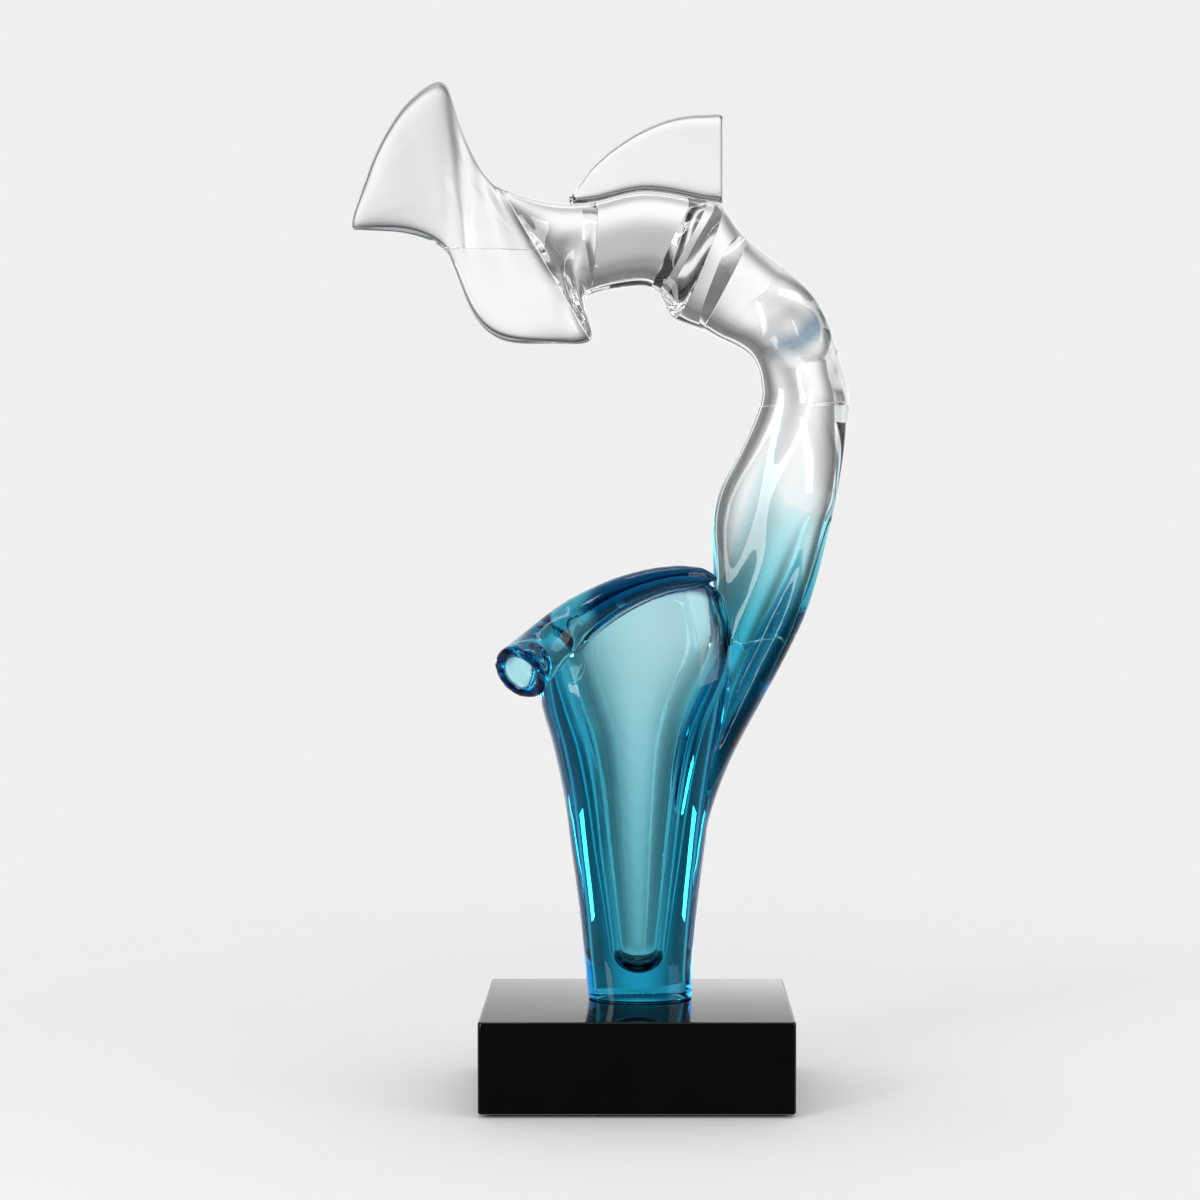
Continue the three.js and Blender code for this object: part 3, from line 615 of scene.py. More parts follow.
# The lip is a horn along the front of the rim that leaves it at the left and ends in an open mouth.
LIP_RADIUS = 19
LIP_BORE = 11
LIP_BORE_DEPTH = 24
LIP_BORE_TIP = 0.15
LIP_BORE_BLUNT = 0.6
LIP_EDGE = 2
LIP_SIDES = 48
LIP_RINGS = 60
BORE_RINGS = 24
# Along the rim: the angle round it and the horn's radius there, as a share of the drawn-out end's.
lip_on_rim = [[36, 0.1], [52, 0.29], [75, 0.4], [100, 0.54], [125, 0.7]]
# The drawn-out end: its x, y, z from the last place on the rim, and its radius as a share too.
lip_drawn_out = [[-13, -9, -11, 0.79], [-26, -18, -24, 0.9], [-35, -32, -33, 1]]
lip_rows = []
for degrees, share in lip_on_rim:
    angle = math.radians(degrees)
    x = mouth_middle + mouth_half_width * math.cos(angle)
    y = -mouth_half_depth * math.sin(angle)
    lip_rows.append([x, y, rim_height(angle), share * LIP_RADIUS])
rim_x, rim_y, rim_z, _ = lip_rows[-1]
for x, y, z, share in lip_drawn_out:
    lip_rows.append([rim_x + x, rim_y + y, rim_z + z, share * LIP_RADIUS])
lip_at = smooth_rows(lip_rows)
lip_end = len(lip_rows) - 1


def lip_cut(position, radius, shift=0):
    """A round cut across the lip, with its radius and its shift along the lip in millimetres."""
    probe = 0.05
    before = Vector(lip_at(max(0, position - probe))[:3])
    after = Vector(lip_at(min(lip_end, position + probe))[:3])
    along = (after - before).normalized()
    side = (Vector((0, 1, 0)) - along * along.y).normalized()
    up = along.cross(side)
    middle = Vector(lip_at(position)[:3]) + along * shift
    return lambda unit: foot + MM * (middle + radius * (side * unit.x + up * unit.y))


lip_places = np.linspace(0, lip_end, LIP_RINGS)
edge_turns = [math.radians(turn) for turn in (30, 60, 90)]
edge_steps = [
    (LIP_RADIUS - LIP_EDGE * (1 - math.cos(turn)), LIP_EDGE * math.sin(turn)) for turn in edge_turns
]
horn = sweep(
    [
        *(lip_cut(place, lip_at(place)[3]) for place in lip_places),
        *(lip_cut(lip_end, radius, shift) for radius, shift in edge_steps),
    ],
    LIP_SIDES,
)
stretches = np.linalg.norm(np.diff([lip_at(p)[:3] for p in lip_places], axis=0), axis=1)
walked = np.concatenate([[0], np.cumsum(stretches)])
bore_start = np.interp(walked[-1] - LIP_BORE_DEPTH, walked, lip_places)
bore_steps = [
    (
        bore_start + (lip_end - bore_start) * share,
        LIP_BORE * math.sin(math.pi / 2 * share**LIP_BORE_BLUNT),
    )
    for share in np.linspace(LIP_BORE_TIP, 1, BORE_RINGS)
]
bore = sweep(
    [
        *(lip_cut(place, radius) for place, radius in bore_steps),
        lip_cut(lip_end, LIP_BORE + LIP_EDGE, 2 * LIP_EDGE),
    ],
    LIP_SIDES,
)


def tool(bm):
    """A bmesh as a loose object that shapes a piece and is then thrown away."""
    mesh = bpy.data.meshes.new("tool")
    bm.to_mesh(mesh)
    bm.free()
    made = bpy.data.objects.new("tool", mesh)
    bpy.context.collection.objects.link(made)
    return made


def joined(base, steps, voxel=None):
    """The base with tools joined to it or cut from it, with its seams flowed together if asked."""
    body = tool(base)
    tools = []
    for operation, bm in steps:
        tools.append(tool(bm))
        modifier = body.modifiers.new(operation, "BOOLEAN")
        modifier.operation = operation
        modifier.object = tools[-1]
        modifier.solver = "EXACT"
    if voxel:
        remesh = body.modifiers.new("grain", "REMESH")
        remesh.mode = "VOXEL"
        remesh.voxel_size = voxel
        polish = body.modifiers.new("polish", "SMOOTH")
        polish.factor = 0.5
        polish.iterations = 12
    bpy.context.view_layer.update()
    done = body.evaluated_get(bpy.context.evaluated_depsgraph_get())
    bm = bmesh.new()
    bm.from_mesh(done.to_mesh())
    for used in [body, *tools]:
        bpy.data.objects.remove(used)
    return bm


GRAIN = 1.5 * MM
TRIM_SWELL = 1.15
neck_root = wave_piece(neck_start, neck_start + 1, steps_per_row=8, swell=TRIM_SWELL, bond=-1)
trim = joined(neck_root, [("DIFFERENCE", cup.copy())])
vase_steps = [("UNION", flank), ("DIFFERENCE", hollow), ("UNION", horn), ("DIFFERENCE", bore)]
vase = joined(cup, vase_steps, GRAIN)

# The bond with the neck is cut and the foot is ground flat after that, its edge broken by a small
# round. Above its edge the envelope that grinds the foot stands clear of everything.
ENVELOPE_SLACK = 0.15
CLEAR_STEPS = [(10, 30), (700, 300)]
sole_turns = [math.radians(turn) for turn in (0, 30, 60, 90)]
sole_steps = [
    (FOOT_EDGE * (1 - math.cos(turn)), FOOT_EDGE * (math.sin(turn) - 1) + ENVELOPE_SLACK)
    for turn in sole_turns
]


def envelope_cut(z, grow):
    """The foot's outline at a height, grown by a margin."""
    left, _, right, _, _, _, _, half, square, _ = vase_row(0)
    row = [left - grow, z, right + grow, z, 0, 0, 0, half + grow, square, 0]
    return lambda unit: cut_place(row, *rounded(unit, square))


envelope = sweep([envelope_cut(z, grow) for z, grow in [*sole_steps, *CLEAR_STEPS]], VASE_SIDES)
vase = joined(vase, [("DIFFERENCE", trim), ("INTERSECT", envelope)])

# How near each point lies to the crest of the rim, from 0 to 1: the crest is painted a dark navy,
# a painted shade for the depth of the thick rim. It thins out towards the lip at the left and ends
# at the neck.
RIM_SHADE_REACH = 16
RIM_SHADE_LEFT = -48
RIM_SHADE_FADE = 22
RIM_SHADE_RIGHT = 54
rim_shade = vase.verts.layers.float.new("rim_shade")
for vert in vase.verts:
    x, y, z = (vert.co - foot) / MM
    angle = math.atan2(y / mouth_half_depth, (x - mouth_middle) / mouth_half_width)
    near_crest = max(0, 1 - abs(rim_height(angle) - z) / RIM_SHADE_REACH)
    clear_of_lip = min(max((x - RIM_SHADE_LEFT) / RIM_SHADE_FADE, 0), 1)
    vert[rim_shade] = near_crest * clear_of_lip * (x < RIM_SHADE_RIGHT)

# Tinted casting resin: water clear but dyed all through, so that thin walls look pale and deep ones
# go to dark blue green. Its polish is nearly perfect, with a faint waviness left by hand sanding.
# The faces that the clear cement joins to the neck don't bend light.
SANDING_WAVE = 30 * MM
SANDING_DEPTH = 0.2 * MM
turquoise_resin, tree, output = empty_material("turquoise_casting_resin")
place = add_node(tree, "ShaderNodeTexCoord", {}, {}).outputs["Object"]
sanding = add_node(
    tree, "ShaderNodeTexNoise", {}, {"Vector": place, "Scale": 1 / SANDING_WAVE, "Detail": 1}
).outputs["Fac"]
waviness = add_node(
    tree, "ShaderNodeBump", {}, {"Height": sanding, "Distance": SANDING_DEPTH, "Strength": 0.3}
).outputs[0]
# Painted shade: the skin's colour goes to a dark navy along the crest of the rim.
rim_shade_attribute = add_node(tree, "ShaderNodeAttribute", {"attribute_name": "rim_shade"}, {}).outputs["Fac"]
rim_shade_share = add_node(
    tree,
    "ShaderNodeMapRange",
    {"interpolation_type": "SMOOTHSTEP"},
    {"Value": rim_shade_attribute, "From Min": 0.1, "From Max": 0.6},
).outputs[0]
skin_and_rim_shade = add_node(
    tree,
    "ShaderNodeMix",
    {"data_type": "RGBA"},
    {0: rim_shade_share, 6: linear("#f3f4f4"), 7: linear("#1c6088")},
).outputs[2]
cemented = add_node(tree, "ShaderNodeAttribute", {"attribute_name": "cemented"}, {}).outputs["Fac"]
bending = add_node(
    tree, "ShaderNodeMapRange", {}, {"Value": cemented, "To Min": RESIN_IOR, "To Max": 1}
).outputs[0]
shader = add_node(
    tree,
    "ShaderNodeBsdfPrincipled",
    {},
    {
        "Base Color": skin_and_rim_shade,
        "Roughness": 0,
        "IOR": bending,
        "Transmission Weight": 1,
        "Normal": waviness,
    },
)
dye = add_node(
    tree, "ShaderNodeVolumeAbsorption", {}, {"Color": linear("#6ce7f3"), "Density": 100}
)
tree.links.new(shader.outputs[0], output.inputs["Surface"])
tree.links.new(dye.outputs[0], output.inputs["Volume"])
vase_piece = place_piece(
    "resin_vase", vase, turquoise_resin, "turquoise_resin", "vase_body", "rolled_lip"
)


# Lower neck: clear resin poured onto the turquoise while that was still soft, so that the colour
# rises into it in streaks and runs out. It is bonded to the flank and ground to fit the vase's rim.
STREAK_WIDTH = 20 * MM
STREAK_STRETCH = 4
STREAKS_FROM = 0.32
STREAKS_TO = 0.43
neck_lower = wave_piece(neck_start, elbow_start, steps_per_row=10)
grown_cup = sweep([vase_cut(level, BOND_GAP) for level in cup_levels], VASE_SIDES)
neck_lower = joined(neck_lower, [("DIFFERENCE", grown_cup)])

# Clear resin with a breath of the dye: a faint cool tint in streaks, which fades upwards between
# two heights in metres.
streaked_resin, tree, output = empty_material("streaked_casting_resin")
place = add_node(tree, "ShaderNodeTexCoord", {}, {}).outputs["Object"]
height = add_node(tree, "ShaderNodeSeparateXYZ", {}, {0: place}).outputs["Z"]
stretched = add_node(
    tree, "ShaderNodeMapping", {}, {"Vector": place, "Scale": (1, 1, 1 / STREAK_STRETCH)}
).outputs[0]
streaks = add_node(
    tree, "ShaderNodeTexNoise", {}, {"Vector": stretched, "Scale": 1 / STREAK_WIDTH, "Detail": 3}
).outputs["Fac"]
fade = add_node(
    tree,
    "ShaderNodeMapRange",
    {},
    {
        "Value": height,
        "From Min": STREAKS_FROM,
        "From Max": STREAKS_TO,
        "To Min": 0.5,
        "To Max": -0.6,
    },
).outputs[0]
amount = add_node(
    tree, "ShaderNodeMath", {"operation": "ADD", "use_clamp": True}, {0: streaks, 1: fade}
).outputs[0]
tint = add_node(
    tree,
    "ShaderNodeMix",
    {"data_type": "RGBA"},
    {0: amount, 6: linear("#ffffff"), 7: linear("#d3edf1")},
).outputs[2]
cemented = add_node(tree, "ShaderNodeAttribute", {"attribute_name": "cemented"}, {}).outputs["Fac"]
bending = add_node(
    tree, "ShaderNodeMapRange", {}, {"Value": cemented, "To Min": RESIN_IOR, "To Max": 1}
).outputs[0]
shader = add_node(
    tree,
    "ShaderNodeBsdfPrincipled",
    {},
    {"Base Color": tint, "Roughness": 0, "IOR": bending, "Transmission Weight": 1},
)
tree.links.new(shader.outputs[0], output.inputs["Surface"])
neck_piece = place_piece(
    "streaked_neck", neck_lower, streaked_resin, "streaked_resin", "neck_lower"
)

# The cement between the neck and the vase bends light as the resin does, so the faces that it joins
# don't show. A joined face lies within its reach of the other piece and looks the other way.
CEMENT_REACH = 1 * MM
FACING_AWAY = -0.7
for piece, other in [(vase_piece, neck_piece), (neck_piece, vase_piece)]:
    nearest = BVHTree.FromObject(other, bpy.context.evaluated_depsgraph_get())
    cemented = piece.data.attributes.new("cemented", "FLOAT", "FACE")
    for face in piece.data.polygons:
        place, normal, _, _ = nearest.find_nearest(face.center, CEMENT_REACH)
        joins = place is not None and face.normal.dot(normal) < FACING_AWAY
        cemented.data[face.index].value = joins


# Broad streak: the colour that rose into the neck, a core of turquoise that was drawn out upwards
# as the resin set. A row holds the place along the wave and how far the core reaches across it,
# from and to, and from the front to the back, from and to.
CORE_SKIN = 3
CORE_LIMIT = 0.86
CORE_RINGS = 60
SEAM = 0.02
neck_core_rows = [
    [neck_start + SEAM, -0.86, 0.86, -0.7, 0.86],
    [neck_start + 0.6, -0.86, 0.86, -0.6, 0.86],
    [neck_start + 1.3, -0.84, 0.86, -0.4, 0.86],
    [neck_start + 2, -0.7, 0.82, -0.2, 0.84],
    [neck_start + 2.5, -0.62, 0.5, 0, 0.82],
    [neck_start + 3, -0.53, 0.2, 0.12, 0.8],
    [neck_start + 3.6, -0.45, 0.05, 0.25, 0.75],
    [neck_start + 4.5, -0.38, -0.05, 0.35, 0.7],
    [neck_start + 5.6, -0.3, -0.12, 0.42, 0.62],
]


def core_body(rows, limit):
    """A closed body inside the wave that keeps within a share of the way to its skin."""
    reach_at = smooth_rows([row[1:] for row in rows], [row[0] for row in rows])

    def core_cut(place):
        left, right, front, back = reach_at(place)
        square = wave_at(place)[ROW_SQUARENESS]

        def ring_place(unit):
            u = (left + right) / 2 + (right - left) / 2 * unit.x
            v = (front + back) / 2 + (back - front) / 2 * unit.y
            out = (abs(u) ** square + abs(v) ** square) ** (1 / square)
            keep = limit / max(out, limit)
            return wave_point(place, u * keep, v * keep)

        return ring_place

    places = np.linspace(rows[0][0], rows[-1][0], CORE_RINGS)
    return sweep([core_cut(place) for place in places], WAVE_SIDES)


neck_core = core_body(neck_core_rows, CORE_LIMIT)
clear_of_cup = sweep([vase_cut(level, CORE_SKIN + BOND_GAP) for level in cup_levels], VASE_SIDES)
neck_core = joined(neck_core, [("DIFFERENCE", clear_of_cup)])

# Dye in the clear resin: it bends no light of its own, and only colours what passes through it. It
# is denser at the foot of the neck and thins out upwards between two heights in metres.
DENSE_BELOW = 0.285
THIN_ABOVE = 0.375
risen_dye, tree, output = empty_material("turquoise_dye_in_resin")
place = add_node(tree, "ShaderNodeTexCoord", {}, {}).outputs["Object"]
height = add_node(tree, "ShaderNodeSeparateXYZ", {}, {0: place}).outputs["Z"]
thinning = add_node(
    tree,
    "ShaderNodeMapRange",
    {"interpolation_type": "SMOOTHSTEP"},
    {"Value": height, "From Min": DENSE_BELOW, "From Max": THIN_ABOVE},
).outputs[0]
tint = add_node(
    tree,
    "ShaderNodeMix",
    {"data_type": "RGBA"},
    {0: thinning, 6: linear("#5eccde"), 7: linear("#ffffff")},
).outputs[2]
shader = add_node(
    tree,
    "ShaderNodeBsdfPrincipled",
    {},
    {"Base Color": tint, "Roughness": 0, "IOR": 1, "Transmission Weight": 1},
)
dye = add_node(
    tree, "ShaderNodeVolumeAbsorption", {}, {"Color": linear("#59e6f0"), "Density": 34}
)
tree.links.new(shader.outputs[0], output.inputs["Surface"])
tree.links.new(dye.outputs[0], output.inputs["Volume"])
place_piece("broad_streak", neck_core, risen_dye, "streaked_resin", "neck_core")


# Deep streaks: where the dye ran together, in the flank and at the foot of the neck, it set to a
# deep blue core. Each keeps a little further inside the resin than the broad streak does.
INNER_CORE_LIMIT = 0.76
flank_core_rows = [
    [flank_start + 1.2, 0.2, 0.5, -0.2, 0.2],
    [flank_start + 2, 0.04, 0.7, -0.35, 0.6],
    [flank_start + 3, 0, 0.74, -0.35, 0.65],
    [neck_start - SEAM, -0.04, 0.74, -0.35, 0.62],
]
inner_core_rows = [
    [neck_start + SEAM, -0.04, 0.74, -0.35, 0.62],
    [neck_start + 0.5, 0.1, 0.74, -0.3, 0.58],
    [neck_start + 0.9, 0.25, 0.74, -0.2, 0.52],
    [neck_start + 1.3, 0.42, 0.7, -0.05, 0.44],
    [neck_start + 1.6, 0.52, 0.62, 0.1, 0.3],
]

# Deep blue dye in the clear resin: it bends no light either, and takes nearly all the red from it.
pooled_dye, tree, output = empty_material("deep_blue_dye_in_resin")
shader = add_node(
    tree,
    "ShaderNodeBsdfPrincipled",
    {},
    {"Base Color": linear("#ffffff"), "Roughness": 0, "IOR": 1, "Transmission Weight": 1},
)
dye = add_node(
    tree, "ShaderNodeVolumeAbsorption", {}, {"Color": linear("#59bdcd"), "Density": 180}
)
tree.links.new(shader.outputs[0], output.inputs["Surface"])
tree.links.new(dye.outputs[0], output.inputs["Volume"])
for name, rows, node in [
    ("deep_streak_0", flank_core_rows, "flank_core"),
    ("deep_streak_1", inner_core_rows, "neck_inner_core"),
]:
    place_piece(name, core_body(rows, INNER_CORE_LIMIT), pooled_dye, "turquoise_resin", node)


# Clear wave: water-clear casting resin, cast in blocks that are cut to bonding planes, cemented one
# to the next with clear cement and polished together.
SLATE_ACROSS = 0.42
slate_shade_middle = wave_point(elbow_start + 3.6, SLATE_ACROSS, 1)
clear_middle = wave_point(elbow_start + 4.1, SLATE_ACROSS, 1)

# Clear casting resin: as clear as water, it bends and mirrors the room, so that its edges, bonds
# and folds draw the lines. The lower half of the elbow's dimple is painted a slate blue shade: it
# runs out round its own middle, and there is none of it at a middle a little higher.
clear_resin, tree, output = empty_material("clear_casting_resin")
place = add_node(tree, "ShaderNodeTexCoord", {}, {}).outputs["Object"]
shares = {}
for number, middle, none_at, full_at in [
    (0, slate_shade_middle, 27 * MM, 12 * MM),
    (1, clear_middle, 4 * MM, 19 * MM),
]:
    distance = add_node(
        tree, "ShaderNodeVectorMath", {"operation": "DISTANCE"}, {0: place, 1: middle}
    ).outputs["Value"]
    shares[number] = add_node(
        tree,
        "ShaderNodeMapRange",
        {"interpolation_type": "SMOOTHSTEP"},
        {"Value": distance, "From Min": none_at, "From Max": full_at},
    ).outputs[0]
# The painted slate blue shade in the elbow's dimple: full near the lower middle, none near the
# upper one.
slate_shade_share = add_node(tree, "ShaderNodeMath", {"operation": "MULTIPLY"}, shares).outputs[0]
slate_shaded_colour = add_node(
    tree,
    "ShaderNodeMix",
    {"data_type": "RGBA"},
    {0: slate_shade_share, 6: linear("#ffffff"), 7: linear("#506c7f")},
).outputs[2]
sanding = add_node(
    tree, "ShaderNodeTexNoise", {}, {"Vector": place, "Scale": 1 / SANDING_WAVE, "Detail": 1}
).outputs["Fac"]
waviness = add_node(
    tree, "ShaderNodeBump", {}, {"Height": sanding, "Distance": SANDING_DEPTH, "Strength": 0.3}
).outputs[0]
shader = add_node(
    tree,
    "ShaderNodeBsdfPrincipled",
    {},
    {
        "Base Color": slate_shaded_colour,
        "Roughness": 0,
        "IOR": RESIN_IOR,
        "Transmission Weight": 1,
        "Normal": waviness,
    },
)
tree.links.new(shader.outputs[0], output.inputs["Surface"])
for name, node, start, end, steps_per_row in [
    ("resin_elbow", "neck_upper", elbow_start, shoulder_start, 16),
    ("resin_shoulder", "arch_shoulder", shoulder_start, wedge_start, 12),
    ("resin_wedge", "arch_wedge", wedge_start, block_start, 12),
    ("resin_block", "arch_block", block_start, link_start, 12),
    ("resin_link", "twist_link", link_start, tail_start, 12),
]:
    place_piece(name, wave_piece(start, end, steps_per_row), clear_resin, "clear_resin", node)


# Fin: a thin polished plate of the same clear resin, sawn to its curve and cemented on edge along
# the arch's crown.
FIN_HALF = 4
FIN_HEIGHT = 60
FIN_SQUARENESS = 8
FIN_BEVEL = 3
FIN_END = 2 * MM
FIN_CORNER = math.radians(60)
FIN_RINGS = 64
FIN_SIDES = 48
# Rows from its upright end to its tip: the place along the wave and the height there, as a share.
fin_rows = [
    [wedge_start, 1],
    [block_start, 0.96],
    [block_start + 0.5, 0.87],
    [block_start + 1, 0.71],
    [block_start + 1.4, 0.6],
    [block_start + 1.7, 0.52],
    [link_start, 0.4],
    [link_start + 0.15, 0.29],
    [link_start + 0.3, 0.17],
    [link_start + 0.42, 0.06],
]
fin_at = smooth_rows(fin_rows)


def fin_cut(position):
    """An upright cut across the fin, on the crown of the arch."""
    place, share = fin_at(position)
    _, _, x, crown, y, _, bow, *_ = wave_at(place)
    low = crown + BOND_GAP
    row = [x, low, x, low + FIN_HEIGHT * share, y, 0, bow, FIN_HALF, FIN_SQUARENESS, FIN_BEVEL]
    return lambda unit: cut_place(row, *rounded(unit, FIN_SQUARENESS))


fin_places = np.linspace(0, len(fin_rows) - 1, FIN_RINGS)
fin = sweep([fin_cut(position) for position in fin_places], FIN_SIDES)
upright = [edge for edge in fin.edges if edge.calc_face_angle(0) > FIN_CORNER]
bmesh.ops.bevel(
    fin, geom=upright, offset=FIN_END, segments=4, profile=0.5, affect="EDGES", material=-1
)

# Clear resin with painted edges: the faces are water clear, and the fine-ground edges of a plate
# are a little rough and carry a painted grey shade that draws its outline as a grey line. A plate's
# unit attribute runs on x from -1 at its inner edge to 1 at its outer one.
plate_resin, tree, output = empty_material("clear_resin_with_painted_edge_shade")
unit = add_node(tree, "ShaderNodeAttribute", {"attribute_name": "unit"}, {}).outputs["Vector"]
across = add_node(tree, "ShaderNodeSeparateXYZ", {}, {0: unit}).outputs["X"]
outer_edge = add_node(
    tree,
    "ShaderNodeMapRange",
    {"interpolation_type": "SMOOTHSTEP"},
    {"Value": across, "From Min": 0.7, "From Max": 0.95},
).outputs[0]
inner_edge = add_node(
    tree,
    "ShaderNodeMapRange",
    {"interpolation_type": "SMOOTHSTEP"},
    {"Value": across, "From Min": -0.85, "From Max": -0.97},
).outputs[0]
edge = add_node(
    tree, "ShaderNodeMath", {"operation": "MAXIMUM"}, {0: outer_edge, 1: inner_edge}
).outputs[0]
# Painted shade: the colour goes to grey along a plate's inner and outer edges.
edge_shaded_colour = add_node(
    tree,
    "ShaderNodeMix",
    {"data_type": "RGBA"},
    {0: edge, 6: linear("#ffffff"), 7: linear("#74797d")},
).outputs[2]
dullness = add_node(
    tree, "ShaderNodeMapRange", {}, {"Value": edge, "To Min": 0, "To Max": 0.12}
).outputs[0]
shader = add_node(
    tree,
    "ShaderNodeBsdfPrincipled",
    {},
    {"Base Color": edge_shaded_colour, "Roughness": dullness, "IOR": RESIN_IOR, "Transmission Weight": 1},
)
tree.links.new(shader.outputs[0], output.inputs["Surface"])
place_piece("resin_fin", fin, plate_resin, "clear_resin", "top_fin")


# Tail: two flukes of clear resin, cast thin and bent while warm, that meet just above the notch
# between them and are cemented there and to the link.
NOTCH_ROW = 8
FLUKE_RISE = 2.5
fluke_height = tail_rows[NOTCH_ROW][1] + FLUKE_RISE
for name, node, side in [("resin_wing", "tail_wing", 1), ("resin_lobe", "tail_lobe", -1)]:
    fluke = wave_piece(tail_start, wave_end, steps_per_row=8)
    level = foot + MM * Vector((0, 0, fluke_height + side * BOND_GAP / 2))
    cut = bmesh.ops.bisect_plane(
        fluke,
        geom=[*fluke.verts, *fluke.edges, *fluke.faces],
        plane_co=level,
        plane_no=(0, 0, -side),
        clear_outer=True,
    )["geom_cut"]
    cut_edges = [part for part in cut if isinstance(part, bmesh.types.BMEdge)]
    bmesh.ops.contextual_create(fluke, geom=cut_edges)
    place_piece(name, fluke, plate_resin, "clear_resin", node)


# Studio: a matt pale floor that fades into a pale room, and soft lamps. What is seen through the
# resin or mirrored in it is a room with dark stretches beside the object, which draw the outline of
# clear resin. The camera stands where the photograph's did.
FLOOR_RADIUS = 2.5
FADE_START = 0.25
FADE_END = 0.9
floor_bm = bmesh.new()
bmesh.ops.create_circle(floor_bm, cap_ends=True, segments=96, radius=FLOOR_RADIUS)
floor_mesh = bpy.data.meshes.new("floor")
floor_bm.to_mesh(floor_mesh)
floor_bm.free()
floor = bpy.data.objects.new("floor", floor_mesh)
bpy.context.collection.objects.link(floor)
floor_paint, tree, output = empty_material("matt_floor_paint")
place = add_node(tree, "ShaderNodeTexCoord", {}, {}).outputs["Object"]
distance = add_node(
    tree, "ShaderNodeVectorMath", {"operation": "LENGTH"}, {0: place}
).outputs["Value"]
fade = add_node(
    tree,
    "ShaderNodeMapRange",
    {"interpolation_type": "SMOOTHSTEP"},
    {"Value": distance, "From Min": FADE_START, "From Max": FADE_END},
).outputs[0]
mirror_ray = add_node(tree, "ShaderNodeLightPath", {}, {}).outputs["Is Glossy Ray"]
fade = add_node(
    tree, "ShaderNodeMath", {"operation": "MAXIMUM"}, {0: fade, 1: mirror_ray}
).outputs[0]
paint = add_node(tree, "ShaderNodeBsdfDiffuse", {}, {"Color": linear("#e0e0e0")})
gone = add_node(tree, "ShaderNodeBsdfTransparent", {}, {})
mixed = add_node(
    tree, "ShaderNodeMixShader", {}, {0: fade, 1: paint.outputs[0], 2: gone.outputs[0]}
)
tree.links.new(mixed.outputs[0], output.inputs["Surface"])
floor_mesh.materials.append(floor_paint)

world = bpy.data.worlds.new("pale_room")
bpy.context.scene.world = world
world.use_nodes = True
tree = world.node_tree
tree.nodes.clear()
direction = add_node(tree, "ShaderNodeTexCoord", {}, {}).outputs["Generated"]
axes = add_node(tree, "ShaderNodeSeparateXYZ", {}, {0: direction})
depth = add_node(
    tree, "ShaderNodeMapRange", {}, {"Value": axes.outputs["Y"], "From Min": -1, "From Max": 1}
).outputs[0]


def room_shades(stops):
    """The room's shades from the front, y = -1, to the back, y = 1, as a ramp."""
    ramp = add_node(tree, "ShaderNodeValToRGB", {}, {"Fac": depth})
    ramp.color_ramp.elements.remove(ramp.color_ramp.elements[1])
    for number, (y, shade) in enumerate(stops):
        position = (y + 1) / 2
        elements = ramp.color_ramp.elements
        stop = elements[0] if number == 0 else elements.new(position)
        stop.position = position
        stop.color = (shade, shade, shade, 1)
    return ramp.outputs[0]


through = room_shades(
    [
        (-1, 0.75),
        (-0.985, 0.7),
        (-0.96, 0.5),
        (-0.9, 0.15),
        (-0.8, 0.12),
        (-0.76, 0.4),
        (-0.707, 0.65),
        (-0.62, 0.65),
        (-0.56, 0.35),
        (-0.48, 0.03),
        (-0.34, 0.03),
        (-0.27, 0.6),
        (-0.2, 0.8),
        (0, 0.95),
        (0.2, 0.9),
        (0.27, 0.7),
        (0.34, 0.03),
        (0.48, 0.03),
        (0.58, 0.2),
        (0.62, 0.9),
        (0.69, 0.95),
        (0.73, 0.3),
        (0.76, 0.2),
        (0.89, 0.2),
        (0.94, 0.35),
        (0.97, 0.62),
        (0.988, 0.9),
        (0.996, 1.05),
        (1, 1.05),
    ]
)
below = add_node(
    tree,
    "ShaderNodeMapRange",
    {"interpolation_type": "SMOOTHSTEP"},
    {"Value": axes.outputs["Z"], "From Min": -0.15, "From Max": -0.45},
).outputs[0]
through = add_node(
    tree, "ShaderNodeMix", {"data_type": "RGBA"}, {0: below, 6: through, 7: linear("#e4e4e4")}
).outputs[2]
mirrored = room_shades(
    [(-1, 0.02), (-0.5, 0.04), (-0.2, 0.2), (0.2, 0.35), (0.6, 0.8), (0.9, 1.3), (1, 1.3)]
)
light = add_node(tree, "ShaderNodeLightPath", {}, {})
room = linear("#efefef")
for kind, shades in [("Is Glossy Ray", mirrored), ("Is Transmission Ray", through)]:
    room = add_node(
        tree, "ShaderNodeMix", {"data_type": "RGBA"}, {0: light.outputs[kind], 6: room, 7: shades}
    ).outputs[2]
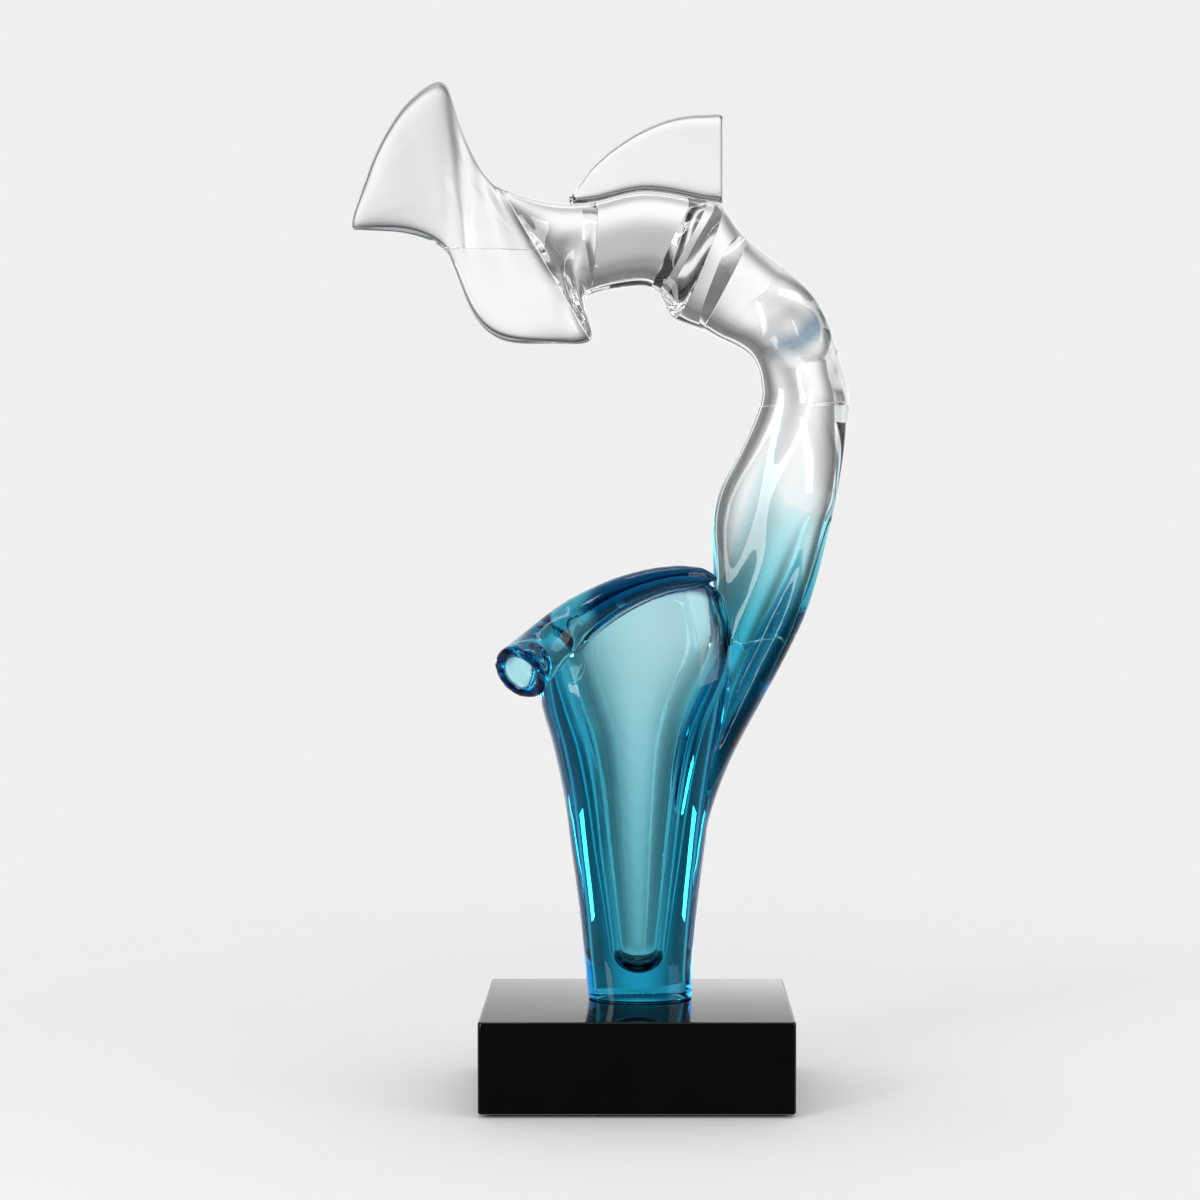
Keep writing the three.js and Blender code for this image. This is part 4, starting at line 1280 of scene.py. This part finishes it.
background = add_node(tree, "ShaderNodeBackground", {}, {"Color": room, "Strength": 1})
add_node(tree, "ShaderNodeOutputWorld", {}, {"Surface": background.outputs[0]})
LAMPS_LOOK_AT = Vector((0, 0, 0.35))


def softbox(name, place, size, power):
    """A soft lamp of a width and a height that looks at the middle of the object."""
    lamp = bpy.data.lights.new(name, "AREA")
    lamp.shape = "RECTANGLE"
    lamp.size, lamp.size_y = size
    lamp.energy = power
    made = bpy.data.objects.new(name, lamp)
    made.location = place
    made.rotation_euler = (LAMPS_LOOK_AT - Vector(place)).to_track_quat("-Z", "Y").to_euler()
    bpy.context.collection.objects.link(made)
    return made


softbox("left_softbox", (-1.2, -1.1, 0.6), (0.35, 1.3), 9)
softbox("right_softbox", (1.5, -0.7, 0.6), (1.0, 1.3), 7)
softbox("top_softbox", (0, 0.1, 1.9), (1.0, 0.5), 6)

# Two small lamps behind the object light the vase alone, and give its walls their bright glints.
vase_alone = bpy.data.collections.new("vase_alone")
vase_alone.objects.link(vase_piece)
for name, x in [("left_strip", -0.95), ("right_strip", 0.95)]:
    strip = softbox(name, (x, 1.35, 0.06), (0.2, 0.2), 1)
    strip.light_linking.receiver_collection = vase_alone

CAMERA_PLACE = (0.0032, -1.4407, 0.3827)
LENS = 65.97
PHOTO_SIZE = 1200
OPTICAL_AXIS = (642, 506.9)
camera_data = bpy.data.cameras.new("camera")
camera_data.lens = LENS
camera_data.shift_x = (PHOTO_SIZE / 2 - OPTICAL_AXIS[0]) / PHOTO_SIZE
camera_data.shift_y = (OPTICAL_AXIS[1] - PHOTO_SIZE / 2) / PHOTO_SIZE
camera = bpy.data.objects.new("camera", camera_data)
camera.location = CAMERA_PLACE
camera.rotation_euler = (math.radians(90), 0, 0)
bpy.context.collection.objects.link(camera)
scene = bpy.context.scene
scene.camera = camera
scene.view_settings.view_transform = "Standard"
scene.cycles.max_bounces = 32
scene.cycles.transmission_bounces = 32
scene.cycles.glossy_bounces = 16
scene.cycles.transparent_max_bounces = 16
